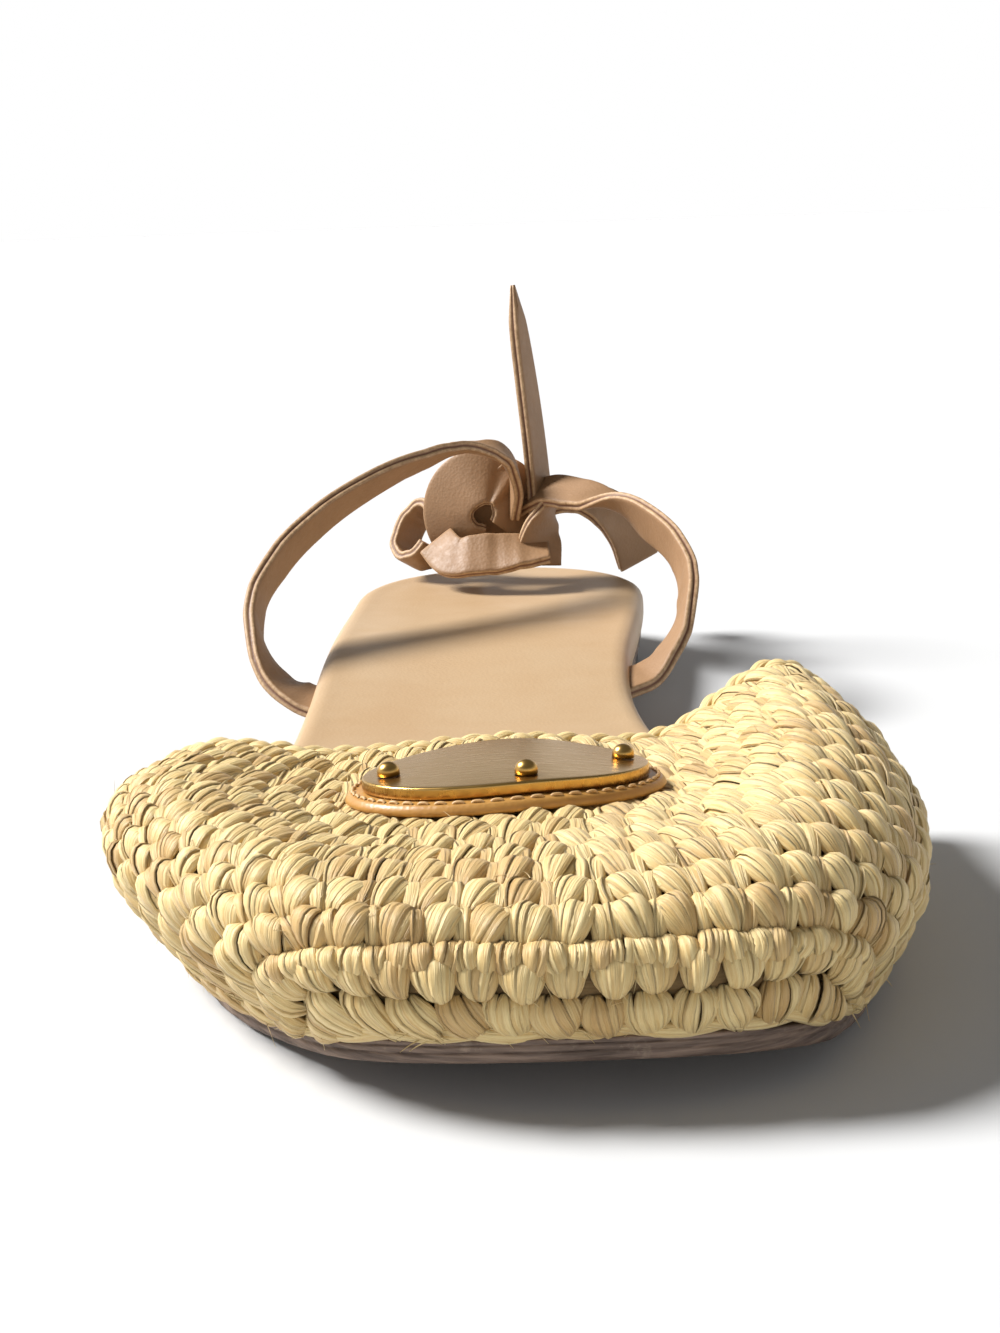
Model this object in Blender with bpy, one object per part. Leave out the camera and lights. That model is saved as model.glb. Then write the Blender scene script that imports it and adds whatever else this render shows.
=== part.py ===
"""A flat raffia sandal for the right foot: a crocheted closed toe on a low leather sole, with ankle ties.

Sizes in the tables and constants are millimetres. x runs from the little-toe side (lateral, -) to the
big-toe side (medial, +), back is the distance behind the toe end, and height is above the floor.
Solids are written in metres with the origin on the floor under the ball of the foot, the toe towards -Y.
"""

from collections import namedtuple
from math import cos, pi, radians, sin

import bmesh
import bpy
import numpy as np

MM = 0.001
GAP = 0.3                 # room left between pieces that meet
SOLE_LENGTH = 245.0
SHARP_ANGLE = 0.7         # edges that turn by more than this stay sharp
CURVE_POINTS = 240        # points on a row's curve when its length is measured
BALL_BACK = 70.0          # the frame's origin lies this far behind the toe end

# The sole's outline. The ends are rounded off by TOE_ROUND and HEEL_ROUND.
SoleStation = namedtuple("SoleStation", "back lateral medial")
SOLE_STATIONS = (
    SoleStation(0, -16.0, 27.0),
    SoleStation(12, -23.5, 32.5),
    SoleStation(24, -31.5, 37.5),
    SoleStation(38, -38.5, 41.0),
    SoleStation(52, -43.0, 42.0),
    SoleStation(66, -44.3, 40.5),
    SoleStation(82, -42.2, 36.0),
    SoleStation(98, -38.5, 29.0),
    SoleStation(114, -35.5, 22.5),
    SoleStation(136, -33.7, 19.0),
    SoleStation(160, -32.8, 19.8),
    SoleStation(185, -31.5, 23.0),
    SoleStation(210, -29.8, 25.8),
    SoleStation(245, -28.0, 27.0),
)
TOE_ROUND, TOE_POWER = 13.0, 2.6
HEEL_ROUND, HEEL_POWER = 31.0, 2.15
END_CUT = 0.2             # a rounded end stops this far short, with a flat
TOE_RINGS, HEEL_RINGS, LIFT_RINGS = 22, 22, 14

OUTSOLE_THICK = 2.7
OUTSOLE_CHAMFER = 0.5
TOE_SPRING = 5.8
TOE_SPRING_END = 36.0     # the forefoot lies flat from here
WAIST_START = 94.0        # to here, then the shank rises to the heel
WAIST_END = 184.0
HEEL_LIFT_HEIGHT = 5.5
HEEL_BREAST = 187.0
HEEL_INSET = 0.7

INSOLE_THICK = 5.6
INSOLE_ROUND = 2.4
INSOLE_OVERHANG = 0.6     # past the outsole at the waist and heel
INSOLE_TOE = 5.2          # where the insole starts, inside the vamp's front wall
INSOLE_ROOM = 1.2         # between the insole and the vamp's wall
INSOLE_STEP = 15.0        # length over which its edge comes out from inside the vamp
INSOLE_FOLD = 0.6         # bevel where its leather folds under
INSOLE_SIDE = 0.8         # least height of its side below the rounding
ROUND_POINTS = 4

VAMP_WALL = 3.0
CORNER = 0.04             # the wall's lean at its edges is taken this share in from them
VAMP_ROWS = 16            # rows of crochet from the toe edge to the throat
INNER_ROWS, INNER_POINTS = 12, 27   # the smooth inner face's grid
FEWEST_STITCHES = 8
CREST_START, CREST_END = 0.3, 0.72  # shares of a row between which its stitches stand full
HOLLOW_START, HOLLOW_END = 0.15, 0.8    # shares of the vamp over which the throat's hollows come in
NORMAL_STEP = 0.004       # step over which the wall's lean is measured
STITCH_PITCH = 4.6
STITCH_RISE = 1.2         # how far a stitch stands out of the wall
STITCH_SADDLE = 0.3       # the same, between two stitches of a row
FOOT_FADE = 0.35          # the stitches that stand on the sole rise by this share of it
ARCH_RISE = 1.3           # the throat's middle stands this much above the hollows beside it

# The vamp's middle line, from the sole edge at the toe, up the front wall and back to the throat.
CentreSection = namedtuple("CentreSection", "share x back height")
CENTRE_SECTIONS = (
    CentreSection(0.00, 5.0, 1.2, 8.2),
    CentreSection(0.07, 4.5, -0.6, 13.8),
    CentreSection(0.15, 4.0, 2.0, 19.2),
    CentreSection(0.24, 3.0, 8.5, 21.2),
    CentreSection(0.45, 1.0, 28.0, 20.6),
    CentreSection(0.70, -1.0, 51.0, 19.6),
    CentreSection(1.00, -2.0, 78.0, 18.4),
)
# Each side of the vamp: its puffed top, its widest line, and where the row's end stands on the sole.
SideSection = namedtuple(
    "SideSection",
    "share lobe_x lobe_back lobe_height wall_x wall_back wall_height foot_back",
)
LATERAL_SECTIONS = (
    SideSection(0.00, -8.5, 1.8, 8.0, -16.5, 4.2, 7.6, 8.0),
    SideSection(0.07, -13.0, 0.8, 13.7, -24.0, 6.6, 12.4, 13.0),
    SideSection(0.15, -18.0, 3.8, 19.1, -30.5, 11.6, 14.2, 19.0),
    SideSection(0.24, -24.0, 10.5, 21.4, -36.6, 19.5, 14.8, 26.5),
    SideSection(0.45, -36.8, 31.0, 21.8, -47.2, 39.5, 15.6, 44.5),
    SideSection(0.70, -44.2, 53.0, 21.2, -51.8, 60.0, 16.2, 66.0),
    SideSection(1.00, -43.8, 78.5, 18.4, -49.8, 82.0, 14.4, 86.0),
)
MEDIAL_SECTIONS = (
    SideSection(0.00, 17.5, 1.8, 8.0, 25.0, 4.2, 7.7, 8.0),
    SideSection(0.07, 20.0, 0.8, 13.9, 30.6, 6.8, 12.4, 13.0),
    SideSection(0.15, 23.0, 3.8, 19.5, 35.8, 12.0, 14.2, 19.5),
    SideSection(0.24, 26.5, 11.0, 22.6, 40.4, 20.0, 14.8, 27.0),
    SideSection(0.45, 33.0, 33.0, 24.8, 45.8, 39.0, 15.6, 45.5),
    SideSection(0.70, 37.0, 58.0, 25.8, 47.2, 62.0, 17.0, 66.0),
    SideSection(1.00, 37.5, 87.0, 25.2, 45.0, 90.0, 17.4, 88.0),
)
HOLLOW_SHARE = 0.56       # the hollow's place between the middle line and the puffed side

BRAID_RADIUS = 1.6
BRAID_SWELL = 0.35
BRAID_PITCH = 4.4
BRAID_START = 0.085       # share of the throat left bare at each end
BRAID_LIFT = 0.5          # the chain's middle stands this far outside the wall
BRAID_SIDES = 6
THROAT_STEP = 0.03        # share of the vamp over which the throat's rearward way is measured

PLATE_X, PLATE_BACK = -2.0, 51.5
PLATE_TURN = 14.0         # degrees that its lateral end is turned towards the toe
PLATE_HALF_WIDTH, PLATE_HALF_LENGTH = 18.0, 12.5
PLATE_THICK = 1.4
PLATE_SEAT = 0.45         # room under the plate and under its rivets, which cross a curve
BACKING_THICK = 1.1
BACKING_BORDER = 2.2
RIVET_RADIUS = 1.7
RIVET_RISE = 1.5
RIVET_INSET = 3.4         # from the plate's rim to the rivet's middle
RIVET_RINGS, RIVET_SIDES = 5, 12
RIVET_CROWN = 0.44        # half turns from the rivet's foot to its flat crown
PAD_RINGS, PAD_SPOKES = (0.35, 0.7, 1.0), 32
PAD_EDGE = 0.4            # bevel of the plate's and backing's upper edge
PLATE_SHARES, PLATE_PLACES = (0.3, 1.0), (0.2, 0.8)   # part of the vamp searched for the plate's seat
SEARCH_STEP, SEARCH_ROUNDS = 0.01, 12

TIE_WIDTH, TIE_THICK, TIE_CHAMFER = 9.0, 2.0, 0.45
TIE_SPACING = 3.2         # between a tie's cross-sections
FEWEST_SECTIONS = 4
HEADING_STEP = 0.32       # distance over which a tie's heading is measured
FLARED_SHARE = 1.45       # a root this wide keeps its own width way
SQUARE_SHARE = 1.1        # a tie this wide is cut square to its heading

# A tie's middle line: where it is, which way its width runs, and its width as a share of TIE_WIDTH.
TiePoint = namedtuple("TiePoint", "x back height width_x width_back width_height share")
LATERAL_TIE = (
    TiePoint(-34.5, 147.0, 11.0, 0.04, 1, 0, 1.5),
    TiePoint(-38.1, 149.6, 12.0, 0.02, 1, 0, 1.3),
    TiePoint(-41.7, 153.4, 14.8, 0, 1, 0, 1.1),
    TiePoint(-44.1, 158.5, 19.0, 0, 1, -0.2, 1),
    TiePoint(-44.2, 165.0, 23.8, 0.1, 1, -0.3, 1),
    TiePoint(-40.6, 173.0, 29.4, 0.2, 1, -0.4, 1),
    TiePoint(-34.2, 182.0, 34.8, 0.2, 1, -0.4, 1),
    TiePoint(-25.4, 192.5, 39.4, 0.2, 1, -0.3, 1),
    TiePoint(-17.0, 202.5, 42.0, 0.2, 1, -0.2, 1),
    TiePoint(-7.5, 212.5, 43.4, 0.1, 1, -0.1, 1),
    TiePoint(0.0, 220.0, 40.6, 0, 1, 0.1, 1),
    TiePoint(2.4, 225.5, 34.5, -0.1, 1, 0.4, 1),
    TiePoint(1.6, 228.5, 29.5, -0.1, 1, 0.5, 1),
)
MEDIAL_TIE = (
    TiePoint(20.9, 152.0, 11.6, 0.035, 1, 0, 1.5),
    TiePoint(24.6, 155.0, 12.6, 0.02, 1, 0, 1.3),
    TiePoint(28.0, 159.5, 15.6, 0, 1, 0, 1.1),
    TiePoint(30.6, 165.0, 19.4, 0, 1, -0.2, 1),
    TiePoint(31.7, 172.0, 23.0, -0.1, 1, -0.3, 1),
    TiePoint(30.6, 182.0, 27.2, -0.1, 1, -0.4, 1),
    TiePoint(26.0, 196.0, 30.6, -0.2, 1, -0.3, 1),
    TiePoint(20.5, 208.0, 32.2, -0.2, 1, 0, 1),
    TiePoint(14.0, 218.0, 33.0, 0.1, 1, 0.3, 1),
    TiePoint(8.6, 225.5, 32.8, 0.1, 1, 0.3, 1),
    TiePoint(4.6, 230.5, 30.6, 0.1, 1, 0.3, 1),
    TiePoint(1.5, 234.0, 28.0, 0.1, 1, 0.3, 1),
)
FRONT_FOLD = (
    TiePoint(8.5, 219.6, 21.4, 0, 1, 0.25, 0.85),
    TiePoint(3.6, 219.5, 21.5, 0, 0.88, 0.48, 1),
    TiePoint(-4.0, 219.8, 21.4, 0.05, 0.65, 0.75, 1),
    TiePoint(-10.5, 222.0, 20.4, 0, 0.7, 0.7, 0.95),
    TiePoint(-14.0, 228.0, 22.6, 0.2, 0.75, 0.6, 0.9),
)
KNOT_BAND = (
    TiePoint(14.0, 225.5, 31.6, 0, 1, 0, 1),
    TiePoint(9.4, 224.6, 30.2, 0.2, 0.95, -0.2, 1),
    TiePoint(7.2, 223.2, 26.0, 0.65, 0.7, -0.3, 1),
    TiePoint(6.6, 222.2, 21.8, 0.95, 0.25, -0.2, 1),
    TiePoint(6.4, 222.0, 18.4, 0.97, 0.2, -0.1, 1),
)
STANDING_END = (
    TiePoint(7.6, 228.6, 24.0, 0.55, 0.85, 0, 1),
    TiePoint(6.4, 230.0, 41.5, 0.5, 0.85, 0, 0.95),
    TiePoint(5.1, 232.0, 54.5, 0.45, 0.9, 0, 0.9),
    TiePoint(3.9, 233.2, 65.0, 0.4, 0.9, 0, 0.75),
    TiePoint(3.0, 234.0, 73.5, 0.4, 0.9, 0, 0.12),
)
HANGING_END = (
    TiePoint(4.0, 229.0, 29.5, 0, 0.8, 0.6, 1),
    TiePoint(13.0, 231.0, 31.0, 0.3, 0.9, 0.5, 1),
    TiePoint(20.5, 233.5, 28.0, 0.7, 0.75, 0.35, 1),
    TiePoint(25.3, 237.3, 22.0, 0.9, 0.5, 0.3, 1),
    TiePoint(27.6, 240.2, 15.6, 0.95, 0.3, 0.25, 1),
)
KNOT_CORE = (
    TiePoint(-9.0, 234.2, 24.6, 0.6, 0.25, -0.8, 1.45),
    TiePoint(-4.5, 232.2, 27.8, 0.6, 0.25, -0.8, 1.45),
    TiePoint(0.3, 231.6, 31.0, 0.6, 0.25, -0.8, 1.45),
    TiePoint(3.3, 232.0, 33.0, 0.6, 0.25, -0.8, 1.45),
)
KNOT_X, KNOT_BACK, KNOT_HEIGHT = -4.0, 228.5, 28.4
KNOT_RADIUS = 8.0         # to the middle of the wrapped tie
KNOT_GROWTH = 1.4         # how much wider the wrap gets over a turn
KNOT_RUN = 2.0            # how far it moves back over a turn
KNOT_TURNS = 0.86
KNOT_START = -0.12        # turns above the medial side where the wrap begins
KNOT_CONE = 0.55          # how far the wrap leans back as a cone
WRAP_STEPS = 18
LOOP_X, LOOP_BACK, LOOP_HEIGHT = -17.2, 235.6, 23.2
LOOP_AXIS = (-0.62, -0.62, 0.48)   # the way the side loop's mouth faces
LOOP_NARROW, LOOP_TALL = 4.4, 6.2
LOOP_OPEN = 0.06          # share of the loop left open at each side of where the tie enters the knot
LOOP_SHARE = 0.8          # its width as a share of TIE_WIDTH
LOOP_STEPS = 14

COLOURS = {
    "straw": ((0.72, 0.54, 0.25), 0.75, 0.0),
    "tan_leather": ((0.62, 0.41, 0.25), 0.55, 0.0),
    "sole_leather": ((0.16, 0.11, 0.085), 0.7, 0.0),
    "heel_rubber": ((0.05, 0.04, 0.035), 0.75, 0.0),
    "gilt_metal": ((0.72, 0.52, 0.23), 0.25, 1.0),
}


# Curves and tables

def smooth(knots, values, at):
    """The cubic through (knots, values), with its slopes taken from the neighbouring knots."""
    knots = np.asarray(knots, float)
    values = np.asarray(values, float)
    at = np.asarray(at, float)
    slopes = np.gradient(values, knots, axis=0)
    i = np.clip(np.searchsorted(knots, at, side="right") - 1, 0, len(knots) - 2)
    step = knots[i + 1] - knots[i]
    t = (at - knots[i]) / step
    if values.ndim > 1:
        step, t = step[..., None], t[..., None]
    rest = 1 - t
    ends = values[i] * rest * rest * (1 + 2 * t) + values[i + 1] * t * t * (3 - 2 * t)
    return ends + step * t * rest * (slopes[i] * rest - slopes[i + 1] * t)


def along(points, shares):
    """Points at these shares of the length of the smooth curve through the given points."""
    points = np.asarray(points, float)
    knots = np.concatenate([[0], np.cumsum(np.linalg.norm(np.diff(points, axis=0), axis=1))])
    fine = smooth(knots, points, np.linspace(0, knots[-1], CURVE_POINTS))
    run = np.concatenate([[0], np.cumsum(np.linalg.norm(np.diff(fine, axis=0), axis=1))])
    wanted = np.asarray(shares) * run[-1]
    return np.stack([np.interp(wanted, run, fine[:, k]) for k in range(3)], axis=1), run[-1]


def ease(value, start, end):
    """0 before start, 1 after end, and a smooth step between them."""
    t = min(max((value - start) / (end - start), 0.0), 1.0)
    return t * t * (3 - 2 * t)


def unit(vector):
    return vector / np.linalg.norm(vector)


# Sole outline and heights

def end_share(distance, depth, power):
    """How wide a rounded end is at this distance from it, as a share of the full width."""
    if distance >= depth:
        return 1.0
    return (1 - (1 - distance / depth) ** power) ** (1 / power)


def sole_edges(back, inset_lateral=0.0, inset_medial=0.0, toe=0.0, heel=SOLE_LENGTH):
    """x of the outline's two sides at this station, drawn in by the insets and rounded at both ends."""
    table = np.array(SOLE_STATIONS)
    lateral = float(smooth(table[:, 0], table[:, 1], back)) + inset_lateral
    medial = float(smooth(table[:, 0], table[:, 2], back)) - inset_medial
    share = end_share(back - toe, TOE_ROUND, TOE_POWER)
    share *= end_share(heel - back, HEEL_ROUND, HEEL_POWER)
    middle = (lateral + medial) / 2
    half = (medial - lateral) / 2 * share
    return middle - half, middle + half


def sole_bottom(back):
    """Height of the outsole's underside: toe spring, flat forefoot, rising waist, level heel seat."""
    spring = max(0.0, 1 - back / TOE_SPRING_END)
    rise = HEEL_LIFT_HEIGHT + GAP
    return TOE_SPRING * spring**2 + rise * ease(back, WAIST_START, WAIST_END)


def sole_top(back):
    return sole_bottom(back) + OUTSOLE_THICK


def stations(first, last, count):
    """Stations from the first to the last, closer together near the last, where the end is rounded."""
    return first + (last - first) * np.sin(np.linspace(0, pi / 2, count))


# Solids

def new_solid(name, points, faces, colour):
    """One closed mesh object. Points are (x, back, height) in millimetres."""
    mesh = bpy.data.meshes.new(name)
    placed = [(x * MM, (back - BALL_BACK) * MM, height * MM) for x, back, height in points]
    mesh.from_pydata(placed, [], [tuple(face) for face in faces])
    shape = bmesh.new()
    shape.from_mesh(mesh)
    bmesh.ops.recalc_face_normals(shape, faces=shape.faces)
    shape.to_mesh(mesh)
    shape.free()
    mesh.shade_smooth()
    mesh.set_sharp_from_angle(angle=SHARP_ANGLE)
    mesh.materials.append(material(colour))
    solid = bpy.data.objects.new(name, mesh)
    bpy.context.scene.collection.objects.link(solid)
    return solid


def material(colour):
    made = bpy.data.materials.get(colour)
    if made:
        return made
    rgb, roughness, metallic = COLOURS[colour]
    made = bpy.data.materials.new(colour)
    made.use_nodes = True
    shader = made.node_tree.nodes["Principled BSDF"]
    shader.inputs["Base Color"].default_value = (*rgb, 1)
    shader.inputs["Roughness"].default_value = roughness
    shader.inputs["Metallic"].default_value = metallic
    return made


def loft(name, rings, colour):
    """A solid skinned over closed rings of equal count, with a flat cap at each end."""
    count = len(rings[0])
    faces = [range(count), range((len(rings) - 1) * count, len(rings) * count)]
    for r in range(len(rings) - 1):
        for k in range(count):
            n = (k + 1) % count
            faces.append((r * count + k, r * count + n, (r + 1) * count + n, (r + 1) * count + k))
    return new_solid(name, np.concatenate(rings), faces, colour)


def zip_rows(first, second):
    """Triangles between two rows of (vertex, share along the row) that may differ in count."""
    faces = []
    i = j = 0
    while i < len(first) - 1 or j < len(second) - 1:
        second_done = j == len(second) - 1
        if second_done or (i < len(first) - 1 and first[i + 1][1] <= second[j + 1][1]):
            faces.append((first[i][0], first[i + 1][0], second[j][0]))
            i += 1
        else:
            faces.append((first[i][0], second[j + 1][0], second[j][0]))
            j += 1
    return faces


# Outsole, heel lift and insole

def outsole():
    rings = []
    chamfer = OUTSOLE_CHAMFER
    middle = SOLE_LENGTH / 2
    toe_half = stations(middle, END_CUT, TOE_RINGS)[::-1]
    heel_half = stations(middle, SOLE_LENGTH - END_CUT, HEEL_RINGS)[1:]
    for back in np.concatenate([toe_half, heel_half]):
        lateral, medial = sole_edges(back)
        low, high = sole_bottom(back), sole_top(back)
        outline = (
            (lateral + chamfer, low), (medial - chamfer, low),
            (medial, low + chamfer), (medial, high - chamfer),
            (medial - chamfer, high), (lateral + chamfer, high),
            (lateral, high - chamfer), (lateral, low + chamfer),
        )
        rings.append(np.array([(x, back, z) for x, z in outline]))
    return loft("outsole", rings, "sole_leather")


def heel_lift():
    rings = []
    heel = SOLE_LENGTH - HEEL_INSET
    for back in stations(HEEL_BREAST, heel - END_CUT, LIFT_RINGS):
        lateral, medial = sole_edges(back, HEEL_INSET, HEEL_INSET, heel=heel)
        outline = (
            (lateral, 0), (medial, 0), (medial, HEEL_LIFT_HEIGHT), (lateral, HEEL_LIFT_HEIGHT),
        )
        rings.append(np.array([(x, back, z) for x, z in outline]))
    return loft("heel_lift", rings, "heel_rubber")


def insole_edges(back):
    """The insole lies inside the vamp's wall at the toe, and reaches over the outsole behind it."""
    inside = VAMP_WALL + INSOLE_ROOM
    insets = []
    for sections in (LATERAL_SECTIONS, MEDIAL_SECTIONS):
        rear = sections[-1].foot_back + VAMP_WALL
        out = ease(back, rear, rear + INSOLE_STEP)
        insets.append(inside - (inside + INSOLE_OVERHANG) * out)
    return sole_edges(back, *insets, toe=INSOLE_TOE, heel=SOLE_LENGTH + INSOLE_OVERHANG)


def insole_top(back):
    return sole_top(back) + GAP + INSOLE_THICK


def insole():
    rings = []
    heel = SOLE_LENGTH + INSOLE_OVERHANG
    middle = (INSOLE_TOE + heel) / 2
    toe_half = stations(middle, INSOLE_TOE + END_CUT, TOE_RINGS)[::-1]
    heel_half = stations(middle, heel - END_CUT, HEEL_RINGS)[1:]
    corner = np.linspace(0, pi / 2, ROUND_POINTS)
    for back in np.concatenate([toe_half, heel_half]):
        lateral, medial = insole_edges(back)
        low, high = sole_top(back) + GAP, insole_top(back)
        nearest = min(back - INSOLE_TOE, heel - back, INSOLE_ROUND)
        high -= INSOLE_ROUND - (INSOLE_ROUND**2 - (INSOLE_ROUND - nearest) ** 2) ** 0.5
        bend = min(INSOLE_ROUND, high - low - INSOLE_SIDE)
        fold = INSOLE_FOLD
        outline = [(lateral + fold, low), (medial - fold, low), (medial, low + fold)]
        outline += [(medial - bend * (1 - cos(t)), high - bend * (1 - sin(t))) for t in corner]
        outline += [(lateral + bend * (1 - sin(t)), high - bend * (1 - cos(t))) for t in corner]
        outline.append((lateral, low + fold))
        rings.append(np.array([(x, back, z) for x, z in outline]))
    return loft("insole", rings, "tan_leather")


# The vamp's own surface, which the braid, plate and backing follow too

def row_line(share):
    """The vamp's outer line at this share of the way from the toe edge to the throat, as nine points."""
    centre = np.array(CENTRE_SECTIONS)
    middle = smooth(centre[:, 0], centre[:, 1:], share)
    line = []
    for sections, edge in ((LATERAL_SECTIONS, 0), (MEDIAL_SECTIONS, 1)):
        table = np.array(sections)
        side = smooth(table[:, 0], table[:, 1:], share)
        lobe, wall, foot_back = side[0:3], side[3:6], float(side[6])
        foot = np.array([sole_edges(foot_back)[edge], foot_back, sole_top(foot_back) + GAP])
        hollow = middle + (lobe - middle) * HOLLOW_SHARE
        level = ease(share, HOLLOW_START, HOLLOW_END)
        hollow[2] += (middle[2] - ARCH_RISE - hollow[2]) * level
        half = [foot, wall, lobe, hollow]
        line += half if edge == 0 else [middle] + half[::-1]
    return np.array(line)


def vamp_rows(share, places):
    """Outer points of one row at these places across it, from the lateral foot to the medial foot."""
    return along(row_line(share), places)[0]


def vamp_normals(share, places):
    """Outward directions of the vamp's wall at these places."""
    step = NORMAL_STEP
    places = np.asarray(places, float)
    low, high = max(share - step, 0.0), min(share + step, 1.0)
    up_row = vamp_rows(high, places) - vamp_rows(low, places)
    across = vamp_rows(share, np.minimum(places + step, 1)) - vamp_rows(share, np.maximum(places - step, 0))
    normals = np.cross(across, up_row)
    return normals / np.linalg.norm(normals, axis=1)[:, None]


def stitches_in(share):
    """How many stitches the row at this share holds."""
    return max(FEWEST_STITCHES, round(along(row_line(share), [0])[1] / STITCH_PITCH))


def stitch_rows():
    """The wall's outer rows from toe to throat, as (share, places, rise): grooves and stitch crests."""
    rows = []
    for row in range(VAMP_ROWS):
        count = stitches_in((row + 0.5) / VAMP_ROWS)
        groove = np.linspace(0, 1, count + 1)
        rows.append((row / VAMP_ROWS, groove, np.zeros(count + 1)))
        crest = np.linspace(0, 1, 2 * count + 1)
        rise = np.where(np.arange(2 * count + 1) % 2, STITCH_RISE, STITCH_SADDLE)
        rise[[0, -1]] = 0
        rise[[1, -2]] *= FOOT_FADE
        rows.append(((row + CREST_START) / VAMP_ROWS, crest, rise))
        rows.append(((row + CREST_END) / VAMP_ROWS, crest, rise))
    count = stitches_in(1.0)
    rows.append((1.0, np.linspace(0, 1, count + 1), np.zeros(count + 1)))
    return rows


def on_sole(points):
    """The same points, stood on the outsole."""
    points = points.copy()
    points[:, 2] = [sole_top(back) + GAP for back in points[:, 1]]
    return points


def vamp():
    """The crocheted upper: one wall with its stitches raised, open at the throat and underneath."""
    outer = []
    for share, places, rise in stitch_rows():
        row = vamp_rows(share, places) + vamp_normals(share, places) * rise[:, None]
        outer.append((share, places, on_sole(row) if share == 0 else row))
    inner = []
    inner_places = np.linspace(0, 1, INNER_POINTS)
    for share in np.linspace(0, 1, INNER_ROWS):
        standing = np.isin(inner_places, (0, 1)) | (share == 0)
        out = vamp_normals(max(share, CORNER), np.clip(inner_places, CORNER, 1 - CORNER))
        out[standing, 2] = 0
        out /= np.linalg.norm(out, axis=1)[:, None]
        row = vamp_rows(share, inner_places) - out * VAMP_WALL
        row[standing] = on_sole(row[standing])
        inner.append((share, inner_places, row))
    points, sheets = [], []
    for skin in (outer, inner):
        sheet = []
        for share, places, row in skin:
            start = len(points)
            points.extend(row)
            sheet.append((share, [(start + k, place) for k, place in enumerate(places)]))
        sheets.append(sheet)
    faces = []
    for sheet in sheets:
        for (_, first), (_, second) in zip(sheet, sheet[1:]):
            faces += zip_rows(first, second)
    outside, inside = sheets
    for end in (0, -1):
        faces += zip_rows(outside[end][1], inside[end][1])
        foot = [[(row[end][0], share) for share, row in sheet] for sheet in sheets]
        faces += zip_rows(*foot)
    return new_solid("vamp", points, faces, "straw")


def throat_braid():
    """The crocheted chain along the throat, on the outer corner of the wall's rear edge."""
    length = along(row_line(1.0), [0])[1] * (1 - 2 * BRAID_START)
    links = round(length / BRAID_PITCH)
    places = np.linspace(BRAID_START, 1 - BRAID_START, 2 * links + 1)
    edge = vamp_rows(1.0, places)
    out = vamp_normals(1.0, places)
    rearward = edge - vamp_rows(1 - THROAT_STEP, places)
    rearward -= out * np.sum(rearward * out, axis=1)[:, None]
    rearward /= np.linalg.norm(rearward, axis=1)[:, None]
    stand = BRAID_RADIUS + BRAID_SWELL + GAP
    middle = edge + out * BRAID_LIFT + rearward * stand
    rings = []
    for k in range(len(places)):
        radius = BRAID_RADIUS + BRAID_SWELL * (k % 2)
        turns = np.linspace(0, 2 * pi, BRAID_SIDES, endpoint=False)
        rings.append(np.array([
            middle[k] + radius * (cos(t) * out[k] + sin(t) * rearward[k]) for t in turns
        ]))
    return loft("throat_braid", rings, "straw")


# The plate, its leather backing and rivets

def vamp_place(x, back):
    """(share, place) of the vamp's surface point over this plan position, found step by step."""
    share, place = np.mean(PLATE_SHARES), np.mean(PLATE_PLACES)
    step = SEARCH_STEP
    for _ in range(SEARCH_ROUNDS):
        here = vamp_rows(share, [place])[0]
        miss = np.array([x, back]) - here[:2]
        high = min(share + step, 1)
        by_share = vamp_rows(high, [place])[0] - vamp_rows(share - step, [place])[0]
        by_place = vamp_rows(share, [place + step])[0] - vamp_rows(share, [place - step])[0]
        slopes = np.column_stack([by_share[:2] / (high - share + step), by_place[:2] / (2 * step)])
        move = np.linalg.solve(slopes, miss)
        share = np.clip(share + move[0], *PLATE_SHARES)
        place = np.clip(place + move[1], *PLATE_PLACES)
    return share, place


def over_vamp(x, back, lift):
    """The point this far above the vamp's wall at this plan position."""
    share, place = vamp_place(x, back)
    return vamp_rows(share, [place])[0] + vamp_normals(share, [place])[0] * lift


def on_plate(across, rearward):
    """Plan position of a point of the plate, from its distances along the plate's own two axes."""
    turn = radians(PLATE_TURN)
    x = PLATE_X + across * cos(turn) - rearward * sin(turn)
    return x, PLATE_BACK + across * sin(turn) + rearward * cos(turn)


def oval_pad(name, half_width, half_length, low, high, colour):
    """An oval plate that follows the vamp between two heights above its wall."""
    rings, spokes = PAD_RINGS, PAD_SPOKES
    points, faces = [], []
    for level, lift in enumerate((low, high)):
        points.append(over_vamp(PLATE_X, PLATE_BACK, lift))
        for ring in rings:
            trim = PAD_EDGE if ring == rings[-1] and level else 0.0
            for k in range(spokes):
                t = 2 * pi * k / spokes
                place = on_plate((half_width * ring - trim) * cos(t), (half_length * ring - trim) * sin(t))
                points.append(over_vamp(*place, lift))
    size = 1 + len(rings) * spokes
    for level in range(2):
        start = level * size
        for k in range(spokes):
            n = (k + 1) % spokes
            faces.append((start, start + 1 + k, start + 1 + n))
            for near in range(start + 1, start + 1 + spokes * (len(rings) - 1), spokes):
                far = near + spokes
                faces.append((near + k, far + k, far + n, near + n))
    rim = size - spokes
    for k in range(spokes):
        n = (k + 1) % spokes
        faces.append((rim + k, rim + n, size + rim + n, size + rim + k))
    return new_solid(name, points, faces, colour)


def plate_levels():
    """Heights above the wall of the backing's and plate's faces."""
    backing_low = STITCH_RISE + GAP
    plate_low = backing_low + BACKING_THICK + PLATE_SEAT
    return backing_low, backing_low + BACKING_THICK, plate_low, plate_low + PLATE_THICK


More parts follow.
